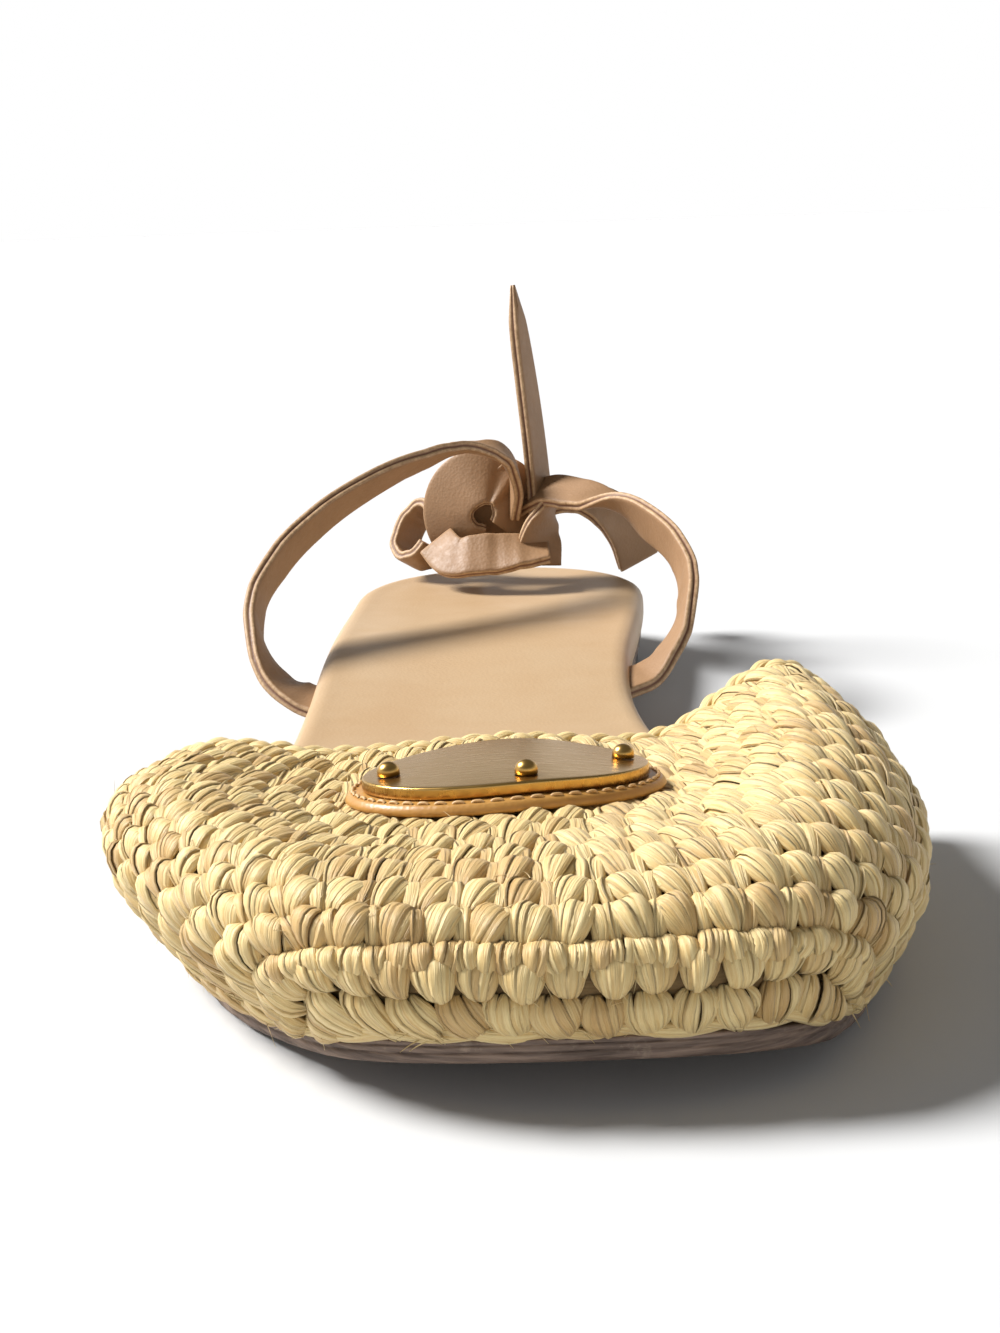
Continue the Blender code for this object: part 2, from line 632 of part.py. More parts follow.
def rivet(name, across, rearward):
    """A domed rivet head on the plate."""
    top = plate_levels()[3] + PLATE_SEAT
    share, place = vamp_place(*on_plate(across, rearward))
    out = vamp_normals(share, [place])[0]
    across = unit(np.cross(out, (0, 1, 0)))
    along_foot = np.cross(out, across)
    base = vamp_rows(share, [place])[0] + out * top
    rings = []
    for angle in np.linspace(0, RIVET_CROWN * pi, RIVET_RINGS):
        radius, rise = RIVET_RADIUS * cos(angle), RIVET_RISE * sin(angle)
        turns = np.linspace(0, 2 * pi, RIVET_SIDES, endpoint=False)
        rings.append(np.array([
            base + out * rise + radius * (cos(t) * across + sin(t) * along_foot) for t in turns
        ]))
    return loft(name, rings, "gilt_metal")


# Ankle ties

def tie_rings(table):
    """Cross-sections of a flat tie along its table of points."""
    rows = np.array(table, float)
    middle, widths = rows[:, :3], rows[:, 3:]
    knots = np.concatenate([[0], np.cumsum(np.linalg.norm(np.diff(middle, axis=0), axis=1))])
    count = max(FEWEST_SECTIONS, round(knots[-1] / TIE_SPACING)) + 1
    at = np.linspace(0, knots[-1], count)
    path = smooth(knots, middle, at)
    spread = smooth(knots, widths, at)
    ahead = smooth(knots, middle, np.minimum(at + HEADING_STEP, knots[-1]))
    behind = smooth(knots, middle, np.maximum(at - HEADING_STEP, 0))
    return [tie_ring(path[k], ahead[k] - behind[k], spread[k, :3], spread[k, 3]) for k in range(count)]


def tie_ring(centre, heading, width_way, share):
    """One cross-section of a tie: a flat strip with its corners off, square to it past the flared root."""
    heading = unit(heading)
    square = ease(share, FLARED_SHARE, SQUARE_SHARE)
    wide = unit(width_way - heading * np.dot(width_way, heading) * square)
    thick = unit(np.cross(heading, wide))
    half, deep = TIE_WIDTH / 2 * share, TIE_THICK / 2
    c = min(TIE_CHAMFER, half / 2)
    outline = (
        (-half, -deep + c), (-half + c, -deep), (half - c, -deep), (half, -deep + c),
        (half, deep - c), (half - c, deep), (-half + c, deep), (-half, deep - c),
    )
    return np.array([centre + wide * w + thick * t for w, t in outline])


def wrap_table():
    """The wrap round the knot's middle, whose turn leans back as a cone."""
    table = []
    for turn in np.linspace(0, KNOT_TURNS, WRAP_STEPS + 1):
        angle = 2 * pi * (KNOT_START + turn)
        reach = KNOT_RADIUS + KNOT_GROWTH * turn
        x, height = cos(angle), sin(angle)
        place = (KNOT_X + reach * x, KNOT_BACK + KNOT_RUN * turn, KNOT_HEIGHT + reach * height)
        table.append(TiePoint(*place, x, KNOT_CONE, height, 1))
    return table


def side_loop_table():
    """The loop beside the knot, its mouth to the front, open a little where the tie enters the knot."""
    axis = unit(np.array(LOOP_AXIS))
    tall = unit(np.array([0, 0, 1]) - axis * axis[2])
    narrow = np.cross(axis, tall)
    table = []
    for share in np.linspace(LOOP_OPEN, 1 - LOOP_OPEN, LOOP_STEPS + 1):
        angle = pi + 2 * pi * share
        x, back, height = LOOP_NARROW * cos(angle) * narrow + LOOP_TALL * sin(angle) * tall
        table.append(TiePoint(LOOP_X + x, LOOP_BACK + back, LOOP_HEIGHT + height, *axis, LOOP_SHARE))
    return table


def ankle_ties():
    """Both ties, knotted on the heel seat: strips that become one solid where they cross."""
    tables = (
        LATERAL_TIE, MEDIAL_TIE, wrap_table(), KNOT_CORE, side_loop_table(), FRONT_FOLD, KNOT_BAND,
        STANDING_END, HANGING_END,
    )
    strips = [loft(f"tie_{k}", tie_rings(table), "tan_leather") for k, table in enumerate(tables)]
    for strip in strips:
        strip.modifiers.new("flat_faces", "TRIANGULATE")
    whole = strips[0]
    whole.name = "ankle_ties"
    others = bpy.data.collections.new("joined_ties")
    for strip in strips[1:]:
        others.objects.link(strip)
        strip.hide_render = True
        strip.display_type = "WIRE"
    join = whole.modifiers.new("join", "BOOLEAN")
    join.operation = "UNION"
    join.solver = "EXACT"
    join.use_self = True
    join.operand_type = "COLLECTION"
    join.collection = others
    return whole


def main():
    for old in list(bpy.data.objects):
        bpy.data.objects.remove(old)
    outsole()
    heel_lift()
    insole()
    vamp()
    throat_braid()
    backing_low, backing_high, plate_low, plate_high = plate_levels()
    oval_pad(
        "plate_backing", PLATE_HALF_WIDTH + BACKING_BORDER, PLATE_HALF_LENGTH + BACKING_BORDER,
        backing_low, backing_high, "tan_leather",
    )
    oval_pad("plate", PLATE_HALF_WIDTH, PLATE_HALF_LENGTH, plate_low, plate_high, "gilt_metal")
    reach = PLATE_HALF_WIDTH - RIVET_INSET
    rivet("rivet_lateral", -reach, 0)
    rivet("rivet_medial", reach, 0)
    rivet("rivet_front", 0, RIVET_INSET - PLATE_HALF_LENGTH)
    ankle_ties()


main()
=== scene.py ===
"""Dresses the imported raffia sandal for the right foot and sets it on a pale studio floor.

Sizes in the tables are millimetres, in the solids' own directions: x runs from the little-toe side
(lateral, -) to the big-toe side (medial, +), back is the distance behind the toe end, and height is above
the floor. Most tables repeat those that the solids are made from, so that each piece sits on its solid.
"""

from collections import namedtuple
from functools import lru_cache, wraps
from math import cos, pi, radians, sin

import bpy
import numpy as np
from bpy.props import FloatProperty, FloatVectorProperty, IntProperty, PointerProperty
from mathutils import Color, Matrix, Vector


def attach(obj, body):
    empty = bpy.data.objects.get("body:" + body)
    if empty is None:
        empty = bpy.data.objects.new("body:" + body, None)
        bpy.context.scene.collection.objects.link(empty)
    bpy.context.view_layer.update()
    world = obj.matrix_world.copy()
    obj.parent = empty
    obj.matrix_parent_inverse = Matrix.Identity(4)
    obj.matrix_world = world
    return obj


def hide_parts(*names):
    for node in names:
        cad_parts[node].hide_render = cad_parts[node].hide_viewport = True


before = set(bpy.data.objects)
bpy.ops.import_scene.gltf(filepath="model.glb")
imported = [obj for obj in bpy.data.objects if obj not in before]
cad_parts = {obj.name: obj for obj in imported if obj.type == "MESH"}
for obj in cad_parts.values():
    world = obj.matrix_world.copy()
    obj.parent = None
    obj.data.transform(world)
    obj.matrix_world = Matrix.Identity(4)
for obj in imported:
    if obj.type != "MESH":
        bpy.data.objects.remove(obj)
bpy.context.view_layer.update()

bl_info = {
    "name": "Raffia sandal",
    "version": (1, 0, 0),
    "blender": (4, 5, 0),
    "location": "View3D > Sidebar > Sandal",
    "description": "Crochets, dresses and stages a flat raffia sandal on its packed solids",
    "category": "Mesh",
}


def rows(kind, *values):
    """A table with named columns, and a row for each group of values."""
    return tuple(kind(*row) for row in values)


MM = 0.001
GAP = 0.3             # room between two pieces
SOLE_LENGTH = 245.0
BALL_BACK = 70.0      # the frame's origin lies this far behind the toe end

# The sole

SoleStation = namedtuple("SoleStation", "back lateral medial")
SOLE_STATIONS = rows(
    SoleStation,
    (0, -16.0, 27.0), (12, -23.5, 32.5), (24, -31.5, 37.5), (38, -38.5, 41.0), (52, -43.0, 42.0),
    (66, -44.3, 40.5), (82, -42.2, 36.0), (98, -38.5, 29.0), (114, -35.5, 22.5), (136, -33.7, 19.0),
    (160, -32.8, 19.8), (185, -31.5, 23.0), (210, -29.8, 25.8), (245, -28.0, 27.0),
)
TOE_ROUND, TOE_POWER = 13.0, 2.6
HEEL_ROUND, HEEL_POWER = 31.0, 2.15
OUTSOLE_THICK = 2.7
TOE_SPRING, TOE_SPRING_END = 5.8, 36.0
WAIST_START, WAIST_END = 94.0, 184.0
HEEL_LIFT_HEIGHT = 5.5
HEEL_BREAST = 187.0
HEEL_INSET = 0.7
INSOLE_THICK = 5.6
INSOLE_OVERHANG = 0.6
INSOLE_TOE = 5.2
INSOLE_ROOM = 4 * GAP
INSOLE_STEP = 15.0
SOLE_SPOKES, HEEL_SPOKES = 420, 240
OUTLINE_STEPS, SPINE_STEPS = 400, 60
SOLE_SPINE, HEEL_SPINE = 24.0, 16.0   # how far a slab's middle line stops short of its ends
SOLE_SEED = 3
RAGGED_WAVES, RAGGED_LEAST, RAGGED_MOST, RAGGED_DEEP = 8, 20, 160, 0.025

# A piece's edge from its underside to its top: how far it is drawn in, and its share of the height.
EdgePoint = namedtuple("EdgePoint", "inset level")
OUTSOLE_EDGE = rows(
    EdgePoint,
    (0.9, 0.0), (0.3, 0.03), (0.05, 0.12), (0.0, 0.30), (0.05, 0.40), (0.26, 0.45), (0.04, 0.50),
    (0.0, 0.62), (0.05, 0.70), (0.24, 0.74), (0.03, 0.79), (0.06, 0.92), (0.4, 1.0),
)
HEEL_EDGE = rows(
    EdgePoint,
    (0.7, 0.0), (0.12, 0.05), (0.0, 0.14), (0.0, 0.36), (0.22, 0.39), (0.22, 0.42), (0.0, 0.45),
    (0.0, 0.92), (0.2, 1.0),
)
INSOLE_EDGE = rows(
    EdgePoint,
    (1.3, 0.0), (0.45, 0.04), (0.1, 0.13), (0.0, 0.28), (0.0, 0.50), (0.1, 0.66), (0.4, 0.80),
    (0.9, 0.90), (1.6, 0.965), (2.6, 1.0),
)
INNER_SHARES = (0.97, 0.93, 0.88, 0.82, 0.75, 0.66, 0.56, 0.45, 0.34, 0.22, 0.11, 0.0)

# Shallow hollows that a foot leaves in the footbed, and soft flex lines across it.
FootHollow = namedtuple("FootHollow", "x back half_width half_length depth")
FOOT_HOLLOWS = rows(
    FootHollow,
    (-1.5, 212.0, 19.0, 27.0, 0.75), (-14.0, 150.0, 15.0, 40.0, 0.3), (-4.0, 108.0, 24.0, 18.0, 0.35),
)
FlexLine = namedtuple("FlexLine", "back slant bow depth width")
FLEX_LINES = rows(
    FlexLine,
    (104.0, 0.10, 3.0, 0.16, 1.4), (113.5, 0.04, 2.2, 0.20, 1.7),
    (125.0, -0.05, 1.6, 0.12, 1.5), (186.0, 0.12, -2.0, 0.14, 2.4),
)
FLEX_REACH, FLEX_LIP = 30.0, 1.2      # half the width that a flex line bows over, and its rear lip's share
RELIEF_FADE = 0.12                    # share of the way in from the edge over which the relief begins

# The vamp: its middle line, then each side's puffed top, widest line and where the row's end stands.

VAMP_WALL = 3.0
CORNER = 0.04         # within this share of a corner the surface faces as it does there
VAMP_ROWS = 16
STITCH_PITCH = 4.6
ARCH_RISE = 1.3
HOLLOW_SHARE = 0.56
HOLLOW_START, HOLLOW_END = 0.15, 0.8
CURVE_STEPS = 240
SURFACE_GRID = 161, 321
WALL_GRID = 97, 121
WALL_SINK = 0.25      # the wall's outer face lies this far in, under the stitches
BAR_RISE, BAR_COUNT = 0.4, 26
WALL_LONG, WALL_WIDE = 130, 95        # the wall's size along a row and across the rows, for its streaks
WALL_OUTER, WALL_INNER = 0.3, 0.85    # how far each face is from the painted hole shade: the outer face is painted mostly in shade
CentreSection = namedtuple("CentreSection", "share x back height")
CENTRE_SECTIONS = rows(
    CentreSection,
    (0.00, 5.0, 1.2, 8.2), (0.07, 4.5, -0.6, 13.8), (0.15, 4.0, 2.0, 19.2), (0.24, 3.0, 8.5, 21.2),
    (0.45, 1.0, 28.0, 20.6), (0.70, -1.0, 51.0, 19.6), (1.00, -2.0, 78.0, 18.4),
)
SideSection = namedtuple(
    "SideSection", "share lobe_x lobe_back lobe_height wall_x wall_back wall_height foot_back",
)
LATERAL_SECTIONS = rows(
    SideSection,
    (0.00, -8.5, 1.8, 8.0, -16.5, 4.2, 7.6, 8.0),
    (0.07, -13.0, 0.8, 13.7, -24.0, 6.6, 12.4, 13.0),
    (0.15, -18.0, 3.8, 19.1, -30.5, 11.6, 14.2, 19.0),
    (0.24, -24.0, 10.5, 21.4, -36.6, 19.5, 14.8, 26.5),
    (0.45, -36.8, 31.0, 21.8, -47.2, 39.5, 15.6, 44.5),
    (0.70, -44.2, 53.0, 21.2, -51.8, 60.0, 16.2, 66.0),
    (1.00, -43.8, 78.5, 18.4, -49.8, 82.0, 14.4, 86.0),
)
MEDIAL_SECTIONS = rows(
    SideSection,
    (0.00, 17.5, 1.8, 8.0, 25.0, 4.2, 7.7, 8.0),
    (0.07, 20.0, 0.8, 13.9, 30.6, 6.8, 12.4, 13.0),
    (0.15, 23.0, 3.8, 19.5, 35.8, 12.0, 14.2, 19.5),
    (0.24, 26.5, 11.0, 22.6, 40.4, 20.0, 14.8, 27.0),
    (0.45, 33.0, 33.0, 24.8, 45.8, 39.0, 15.6, 45.5),
    (0.70, 37.0, 58.0, 25.8, 47.2, 62.0, 17.0, 66.0),
    (1.00, 37.5, 87.0, 25.2, 45.0, 90.0, 17.4, 88.0),
)

# A bundle of raffia in a stitch, and how many strips lie over it. Across and half are shares of the stitch,
# and up is a share of the row.
Bundle = namedtuple("Bundle", "strips points")
BundlePoint = namedtuple("BundlePoint", "across up lift half deep")
EDGE_BUNDLE = Bundle(7, rows(
    BundlePoint,
    (0.26, -0.16, -0.5, 0.12, 0.5), (0.19, 0.08, 0.0, 0.23, 0.85), (0.08, 0.36, 0.42, 0.45, 1.3),
    (-0.03, 0.64, 0.50, 0.49, 1.45), (-0.08, 0.88, 0.15, 0.42, 1.2), (-0.09, 1.02, -0.6, 0.26, 0.7),
))
TOOTH_CAP = Bundle(5, rows(
    BundlePoint,
    (0.0, -0.12, -0.7, 0.12, 0.5), (0.0, 0.04, 0.15, 0.27, 1.1), (0.0, 0.25, 0.48, 0.41, 1.4),
    (0.0, 0.50, 0.42, 0.48, 1.4), (0.0, 0.74, 0.12, 0.46, 1.2), (0.0, 0.93, -0.6, 0.36, 0.7),
))
TOOTH_LEG = Bundle(4, rows(
    BundlePoint,
    (0.09, 0.26, -0.4, 0.17, 0.8), (0.18, 0.48, 0.35, 0.24, 1.1), (0.25, 0.72, 0.60, 0.28, 1.3),
    (0.26, 0.97, 0.30, 0.27, 1.1), (0.25, 1.14, -0.6, 0.18, 0.6),
))
EAR_BROAD = Bundle(5, rows(
    BundlePoint,
    (0.46, -0.14, -0.6, 0.14, 0.5), (0.38, 0.08, 0.0, 0.25, 0.80), (0.24, 0.36, 0.34, 0.38, 1.15),
    (0.08, 0.68, 0.52, 0.43, 1.25), (-0.06, 0.92, 0.22, 0.38, 1.0), (-0.14, 1.05, -0.6, 0.22, 0.6),
))
EAR_NARROW = Bundle(3, rows(
    BundlePoint,
    (-0.28, -0.14, -0.5, 0.12, 0.5), (-0.33, 0.10, -0.1, 0.16, 0.70), (-0.35, 0.42, 0.20, 0.21, 0.90),
    (-0.30, 0.76, 0.20, 0.22, 0.9), (-0.22, 1.08, -0.5, 0.16, 0.6),
))
BUNDLE_RINGS = 9
STRIP_SPOKES = 6
STRIP_THICK = 0.2
STRIP_FAN = radians(158)    # how far round a bundle its strips reach
STRIP_OVERLAP = 1.65
SLIP_EASE = 4               # stitches to each side over which a row's uprightness is evened
EAR_TURN, EAR_WANDER = 0.53, 0.05   # place in a row where the ears change sides, and how far it wanders
FEWEST_STITCHES = 8
USUAL_CREST = 1.6           # the crest that the bundles' lifts are drawn for
PLATE_PRESS = 0.4           # share by which the plate flattens the stitches under it
HOLE_LIFT, CREST_LIFT = -0.3, 1.3   # lifts at which a strip is painted wholly in the hole shade and wholly free of it
STRAND_NUMBERS = 50         # each strand draws its own number under this, which sets its streaks apart

# How far one stitch, and one strip of it, differs from the next. A strip's half and thick are ranges.
StitchSpread = namedtuple("StitchSpread", "lean shift grow plump up twist")
STITCH_SPREAD = StitchSpread(0.07, 0.03, 0.06, 0.09, 0.03, 0.16)
StripSpread = namedtuple("StripSpread", "place turn bulge sway shade half thick")
STRIP_SPREAD = StripSpread(0.12, 0.07, 0.1, 0.2, 0.16, (0.85, 1.15), (0.8, 1.2))

# The strand that the first row is worked on: a turn of its plies has this length.
STRAND_INSET, STRAND_LIFT = 0.012, 0.35
STRAND_EVENINGS, STRAND_RINGS = 6, 360
STRAND_TURN, STRAND_APART = 17.0, 0.45
STRAND_HALF, STRAND_DEEP = 0.95, 0.72

# Where loose fibres stand out: a patch of the vamp, how many, and how far they lie along the row.
StrayZone = namedtuple("StrayZone", "share_low share_high place_low place_high count length along_row thick")
STRAY_ZONES = rows(
    StrayZone,
    (0.01, 0.030, 0.22, 0.26, 9, 3.0, 0.98, 0.12),
    (0.01, 0.030, 0.34, 0.95, 14, 1.8, 0.9, 0.07),
    (0.02, 0.98, 0.00, 0.05, 36, 3.2, 0.3, 0.08),
    (0.02, 0.98, 0.95, 1.00, 36, 3.2, 0.3, 0.08),
    (0.03, 0.98, 0.05, 0.95, 380, 2.6, 0.4, 0.05),
)

BRAID_RADIUS = 1.6
BRAID_SWELL = 0.35
BRAID_PITCH = 4.4
BRAID_START = 0.085
BRAID_LIFT = 0.5
BRAID_TUCK = 0.35           # how far the chain is drawn in towards the last row
BRAID_PLIES, BRAID_RINGS = 3, 260
BRAID_SWING, BRAID_HOP = 1.15, 0.6    # how far a ply goes from side to side, and over and under
PLY_HALF, PLY_DEEP, PLY_SPOKES = 1.0, 0.72, 10

PLATE_X, PLATE_BACK, PLATE_TURN = -2.0, 51.5, radians(14.0)
PLATE_HALF_WIDTH, PLATE_HALF_LENGTH = 18.0, 12.5
PLATE_THICK = 1.4
PLATE_SEAT = 0.45
PLATE_LIP, PLATE_ROUND, PLATE_CROWN = 0.55, 0.35, 0.32
PLATE_RINGS = (1.0, 2.0, 4.0, 7.0, 10.0, 13.0, 16.0, 17.9)    # how far in from the rim
STITCH_RISE = 1.2
BACKING_THICK = 1.1
BACKING_BORDER = 2.2
SEAT_SINK = 0.3             # how far the backing and the plate reach down into what they lie on
RIVET_RADIUS = 1.4
RIVET_RISE = 1.3
RIVET_INSET = 3.4
RIVET_FOOT = 0.05           # height above the plate at which a head's rim starts
THREAD_STITCHES, THREAD_INSET = 52, 0.95
THREAD_REACH = 0.036        # half of one stitch, as an angle round the plate
THREAD_RISE, THREAD_DIP = 0.16, 0.22
THREAD_HALF, THREAD_DEEP, THREAD_RINGS, THREAD_SPOKES = 0.24, 0.2, 7, 8

# The ankle ties: the middle of the strip, the way that its width lies, and its share of the full width.

TIE_WIDTH, TIE_THICK = 9.0, 2.0
TiePoint = namedtuple("TiePoint", "x back height width_x width_back width_height share")
LATERAL_TIE = rows(
    TiePoint,
    (-30.6, 145.6, 8.7, 0.04, 1, 0.09, 1.4),
    (-37.6, 149.4, 10.6, 0.02, 1, 0.06, 1.25),
    (-41.7, 153.4, 14.3, 0, 1, 0, 1.1),
    (-44.1, 158.5, 19.0, 0, 1, -0.2, 1),
    (-44.2, 165.0, 23.8, 0.1, 1, -0.3, 1),
    (-40.6, 173.0, 29.4, 0.2, 1, -0.4, 1),
    (-34.2, 182.0, 34.8, 0.2, 1, -0.4, 1),
    (-25.4, 192.5, 39.4, 0.2, 1, -0.3, 1),
    (-17.0, 202.5, 42.0, 0.2, 1, -0.2, 1),
    (-7.5, 212.5, 43.4, 0.1, 1, -0.1, 1),
    (0.0, 220.0, 40.6, 0, 1, 0.1, 1),
    (2.4, 225.5, 34.5, -0.1, 1, 0.4, 1),
    (1.6, 228.5, 29.5, -0.1, 1, 0.5, 1),
)
MEDIAL_TIE = rows(
    TiePoint,
    (16.8, 150.6, 9.1, 0.035, 1, 0.09, 1.4),
    (24.0, 154.8, 11.2, 0.02, 1, 0.06, 1.25),
    (28.0, 159.5, 15.2, 0, 1, 0, 1.1),
    (30.6, 165.0, 19.4, 0, 1, -0.2, 1),
    (31.7, 172.0, 23.0, -0.1, 1, -0.3, 1),
    (30.6, 182.0, 27.2, -0.1, 1, -0.4, 1),
    (26.0, 196.0, 30.6, -0.2, 1, -0.3, 1),
    (20.5, 208.0, 32.2, -0.2, 1, 0, 1),
    (14.0, 218.0, 33.0, 0.1, 1, 0.3, 1),
    (8.6, 225.5, 32.8, 0.1, 1, 0.3, 1),
    (4.6, 230.5, 30.6, 0.1, 1, 0.3, 1),
    (1.5, 234.0, 28.0, 0.1, 1, 0.3, 1),
)
FRONT_FOLD = rows(
    TiePoint,
    (8.5, 219.6, 21.4, 0, 1, 0.25, 0.85),
    (3.6, 219.5, 21.5, 0, 0.88, 0.48, 1),
    (-4.0, 219.8, 21.4, 0.05, 0.65, 0.75, 1),
    (-10.5, 222.0, 20.4, 0, 0.7, 0.7, 0.95),
    (-14.0, 228.0, 22.6, 0.2, 0.75, 0.6, 0.9),
)
KNOT_BAND = rows(
    TiePoint,
    (14.0, 225.5, 31.6, 0, 1, 0, 1),
    (9.4, 224.6, 30.2, 0.2, 0.95, -0.2, 1),
    (7.2, 223.2, 26.0, 0.65, 0.7, -0.3, 1),
    (6.6, 222.2, 21.8, 0.95, 0.25, -0.2, 1),
    (6.4, 222.0, 18.4, 0.97, 0.2, -0.1, 1),
)
STANDING_END = rows(
    TiePoint,
    (7.6, 228.6, 24.0, 0.42, 0.9, 0, 1),
    (6.4, 230.0, 41.5, 0.38, 0.9, 0, 0.95),
    (5.1, 232.0, 54.5, 0.36, 0.92, 0, 0.9),
    (3.9, 233.2, 65.0, 0.36, 0.92, 0, 0.66),
    (3.0, 234.0, 73.5, 0.4, 0.9, 0, 0.1),
)
HANGING_END = rows(
    TiePoint,
    (4.0, 229.0, 29.5, 0, 0.8, 0.6, 1),
    (13.0, 231.0, 31.0, 0.3, 0.9, 0.5, 1),
    (20.5, 233.5, 28.0, 0.7, 0.75, 0.35, 1),
    (25.3, 237.3, 22.0, 0.9, 0.5, 0.3, 1),
    (27.6, 240.2, 15.6, 0.95, 0.3, 0.25, 1),
)
KNOT_CORE = rows(
    TiePoint,
    (-9.0, 234.2, 24.6, 0.6, 0.25, -0.8, 1.45),
    (-4.5, 232.2, 27.8, 0.6, 0.25, -0.8, 1.45),
    (0.3, 231.6, 31.0, 0.6, 0.25, -0.8, 1.45),
    (3.3, 232.0, 33.0, 0.6, 0.25, -0.8, 1.45),
)
KNOT_X, KNOT_BACK, KNOT_HEIGHT = -4.0, 228.5, 28.4
KNOT_RADIUS, KNOT_GROWTH, KNOT_RUN = 8.0, 1.4, 2.0
KNOT_TURNS, KNOT_START, KNOT_CONE = 0.86, -0.12, 0.55
# The wrap is spread inwards, so that its inner edge nearly closes over the core.
WRAP_DRAW, WRAP_SHARE, WRAP_WANDER, WRAP_WAVES = 1.25, 1.28, 0.06, 17
LOOP_X, LOOP_BACK, LOOP_HEIGHT = -17.2, 235.6, 23.2
LOOP_AXIS = (-0.62, -0.62, 0.48)
LOOP_NARROW, LOOP_TALL, LOOP_SHARE = 4.4, 6.2, 0.8
LOOP_OPEN = 0.06            # share of a turn that is left open at each end
WRAP_POINTS, LOOP_POINTS = 19, 15
TIE_STEP = 0.6
TIE_EASE = 4                # steps to each side over which a tie's path is evened
TIE_PROBE = 0.3             # distance to each side over which its heading is taken
TIE_SLANT, TIE_SQUARE = 1.45, 1.1   # a strip this broad lies at a slant, and one this narrow lies square

# Soft cross creases in the strips: how far along, how deep and how long.
TieCrease = namedtuple("TieCrease", "run depth width")
TIE_CREASES = {
    "lateral": rows(
        TieCrease, (7.0, -0.22, 1.6), (11.5, 0.20, 1.8), (24.0, 0.16, 2.2), (88.0, -0.20, 2.0),
        (95.0, 0.22, 1.8), (101.0, -0.2, 1.6),
    ),
    "medial": rows(TieCrease, (6.5, -0.22, 1.6), (11.0, 0.2, 1.8), (30.0, 0.15, 2.0), (76.0, 0.2, 2.0)),
    "wrap": rows(
        TieCrease, (4.0, -0.2, 1.8), (9.0, 0.45, 1.2), (11.4, -0.4, 1.0), (13.6, 0.4, 1.1),
        (24.0, 0.16, 2.6), (34.0, -0.2, 2.0),
    ),
    "fold": rows(TieCrease, (6.0, -0.3, 1.2), (10.5, 0.35, 1.3), (16.0, -0.3, 1.4)),
    "loop": rows(TieCrease, (5.0, 0.4, 1.2), (11.0, -0.45, 1.4), (19.0, 0.4, 1.2)),
    "band": rows(TieCrease, (8.0, 0.35, 1.4)),
    "hanging": rows(TieCrease, (11.0, 0.3, 1.6), (17.0, -0.25, 1.8)),
}


# Curves and tables

def linear(code):
    """A six-figure sRGB hex colour as linear light."""
    parts = [int(code[i:i + 2], 16) / 255 for i in (0, 2, 4)]
    return tuple(p / 12.92 if p <= 0.04045 else ((p + 0.055) / 1.055) ** 2.4 for p in parts)


def smooth(knots, values, at):
    """The cubic through (knots, values), with its slopes taken from the neighbouring knots."""
    knots, values, at = (np.asarray(each, float) for each in (knots, values, at))
    slopes = np.gradient(values, knots, axis=0)
    i = np.clip(np.searchsorted(knots, at, side="right") - 1, 0, len(knots) - 2)
    step = knots[i + 1] - knots[i]
    t = (at - knots[i]) / step
    if values.ndim > 1:
        step, t = step[..., None], t[..., None]
    rest = 1 - t
    ends = values[i] * rest * rest * (1 + 2 * t) + values[i + 1] * t * t * (3 - 2 * t)
    return ends + step * t * rest * (slopes[i] * rest - slopes[i + 1] * t)


def run_of(points):
    """Distance along a line of points."""
    return np.concatenate([[0], np.cumsum(np.linalg.norm(np.diff(points, axis=0), axis=1))])


def points_at(wanted, run, points):
    """Points at these distances along a line of points, straight between them."""
    return np.stack([np.interp(wanted, run, column) for column in points.T], axis=1)


def along(points, shares):
    """Points at these shares of the length of the smooth curve through the given points, and that length."""
    knots = run_of(points)
    fine = smooth(knots, points, np.linspace(0, knots[-1], CURVE_STEPS))
    run = run_of(fine)
    return points_at(np.asarray(shares) * run[-1], run, fine), run[-1]


def ease(value, start, end):
    """0 before start, 1 after end, and a smooth step between them."""
    t = np.clip((value - start) / (end - start), 0.0, 1.0)
    return t * t * (3 - 2 * t)


def unit(vectors):
    return vectors / np.linalg.norm(vectors, axis=-1, keepdims=True)


def round_turn(count):
    """Angles of a ring's points."""
    return np.linspace(0, 2 * pi, count, endpoint=False)


# Meshes

def tube_faces(rings, around):
    """Quads between rings of points, each closed on itself, facing out."""
    r, k = np.meshgrid(np.arange(rings - 1), np.arange(around), indexing="ij")
    n = (k + 1) % around
    quads = [r * around + k, r * around + n, (r + 1) * around + n, (r + 1) * around + k]
    return np.stack(quads, axis=-1).reshape(-1, 4)


def tube(path, up, wide, deep, spokes):
    """Rings of an oval section swept along a path, its short way kept near the up directions."""
    heading = unit(np.gradient(path, axis=0))
    side = unit(np.cross(up, heading))
    over = np.cross(heading, side)
    turns = round_turn(spokes)
    wide = np.broadcast_to(wide, len(path))[:, None, None]
    deep = np.broadcast_to(deep, len(path))[:, None, None]
    return (
        path[:, None]
        + side[:, None] * wide * np.cos(turns)[None, :, None]
        + over[:, None] * deep * np.sin(turns)[None, :, None]
    )


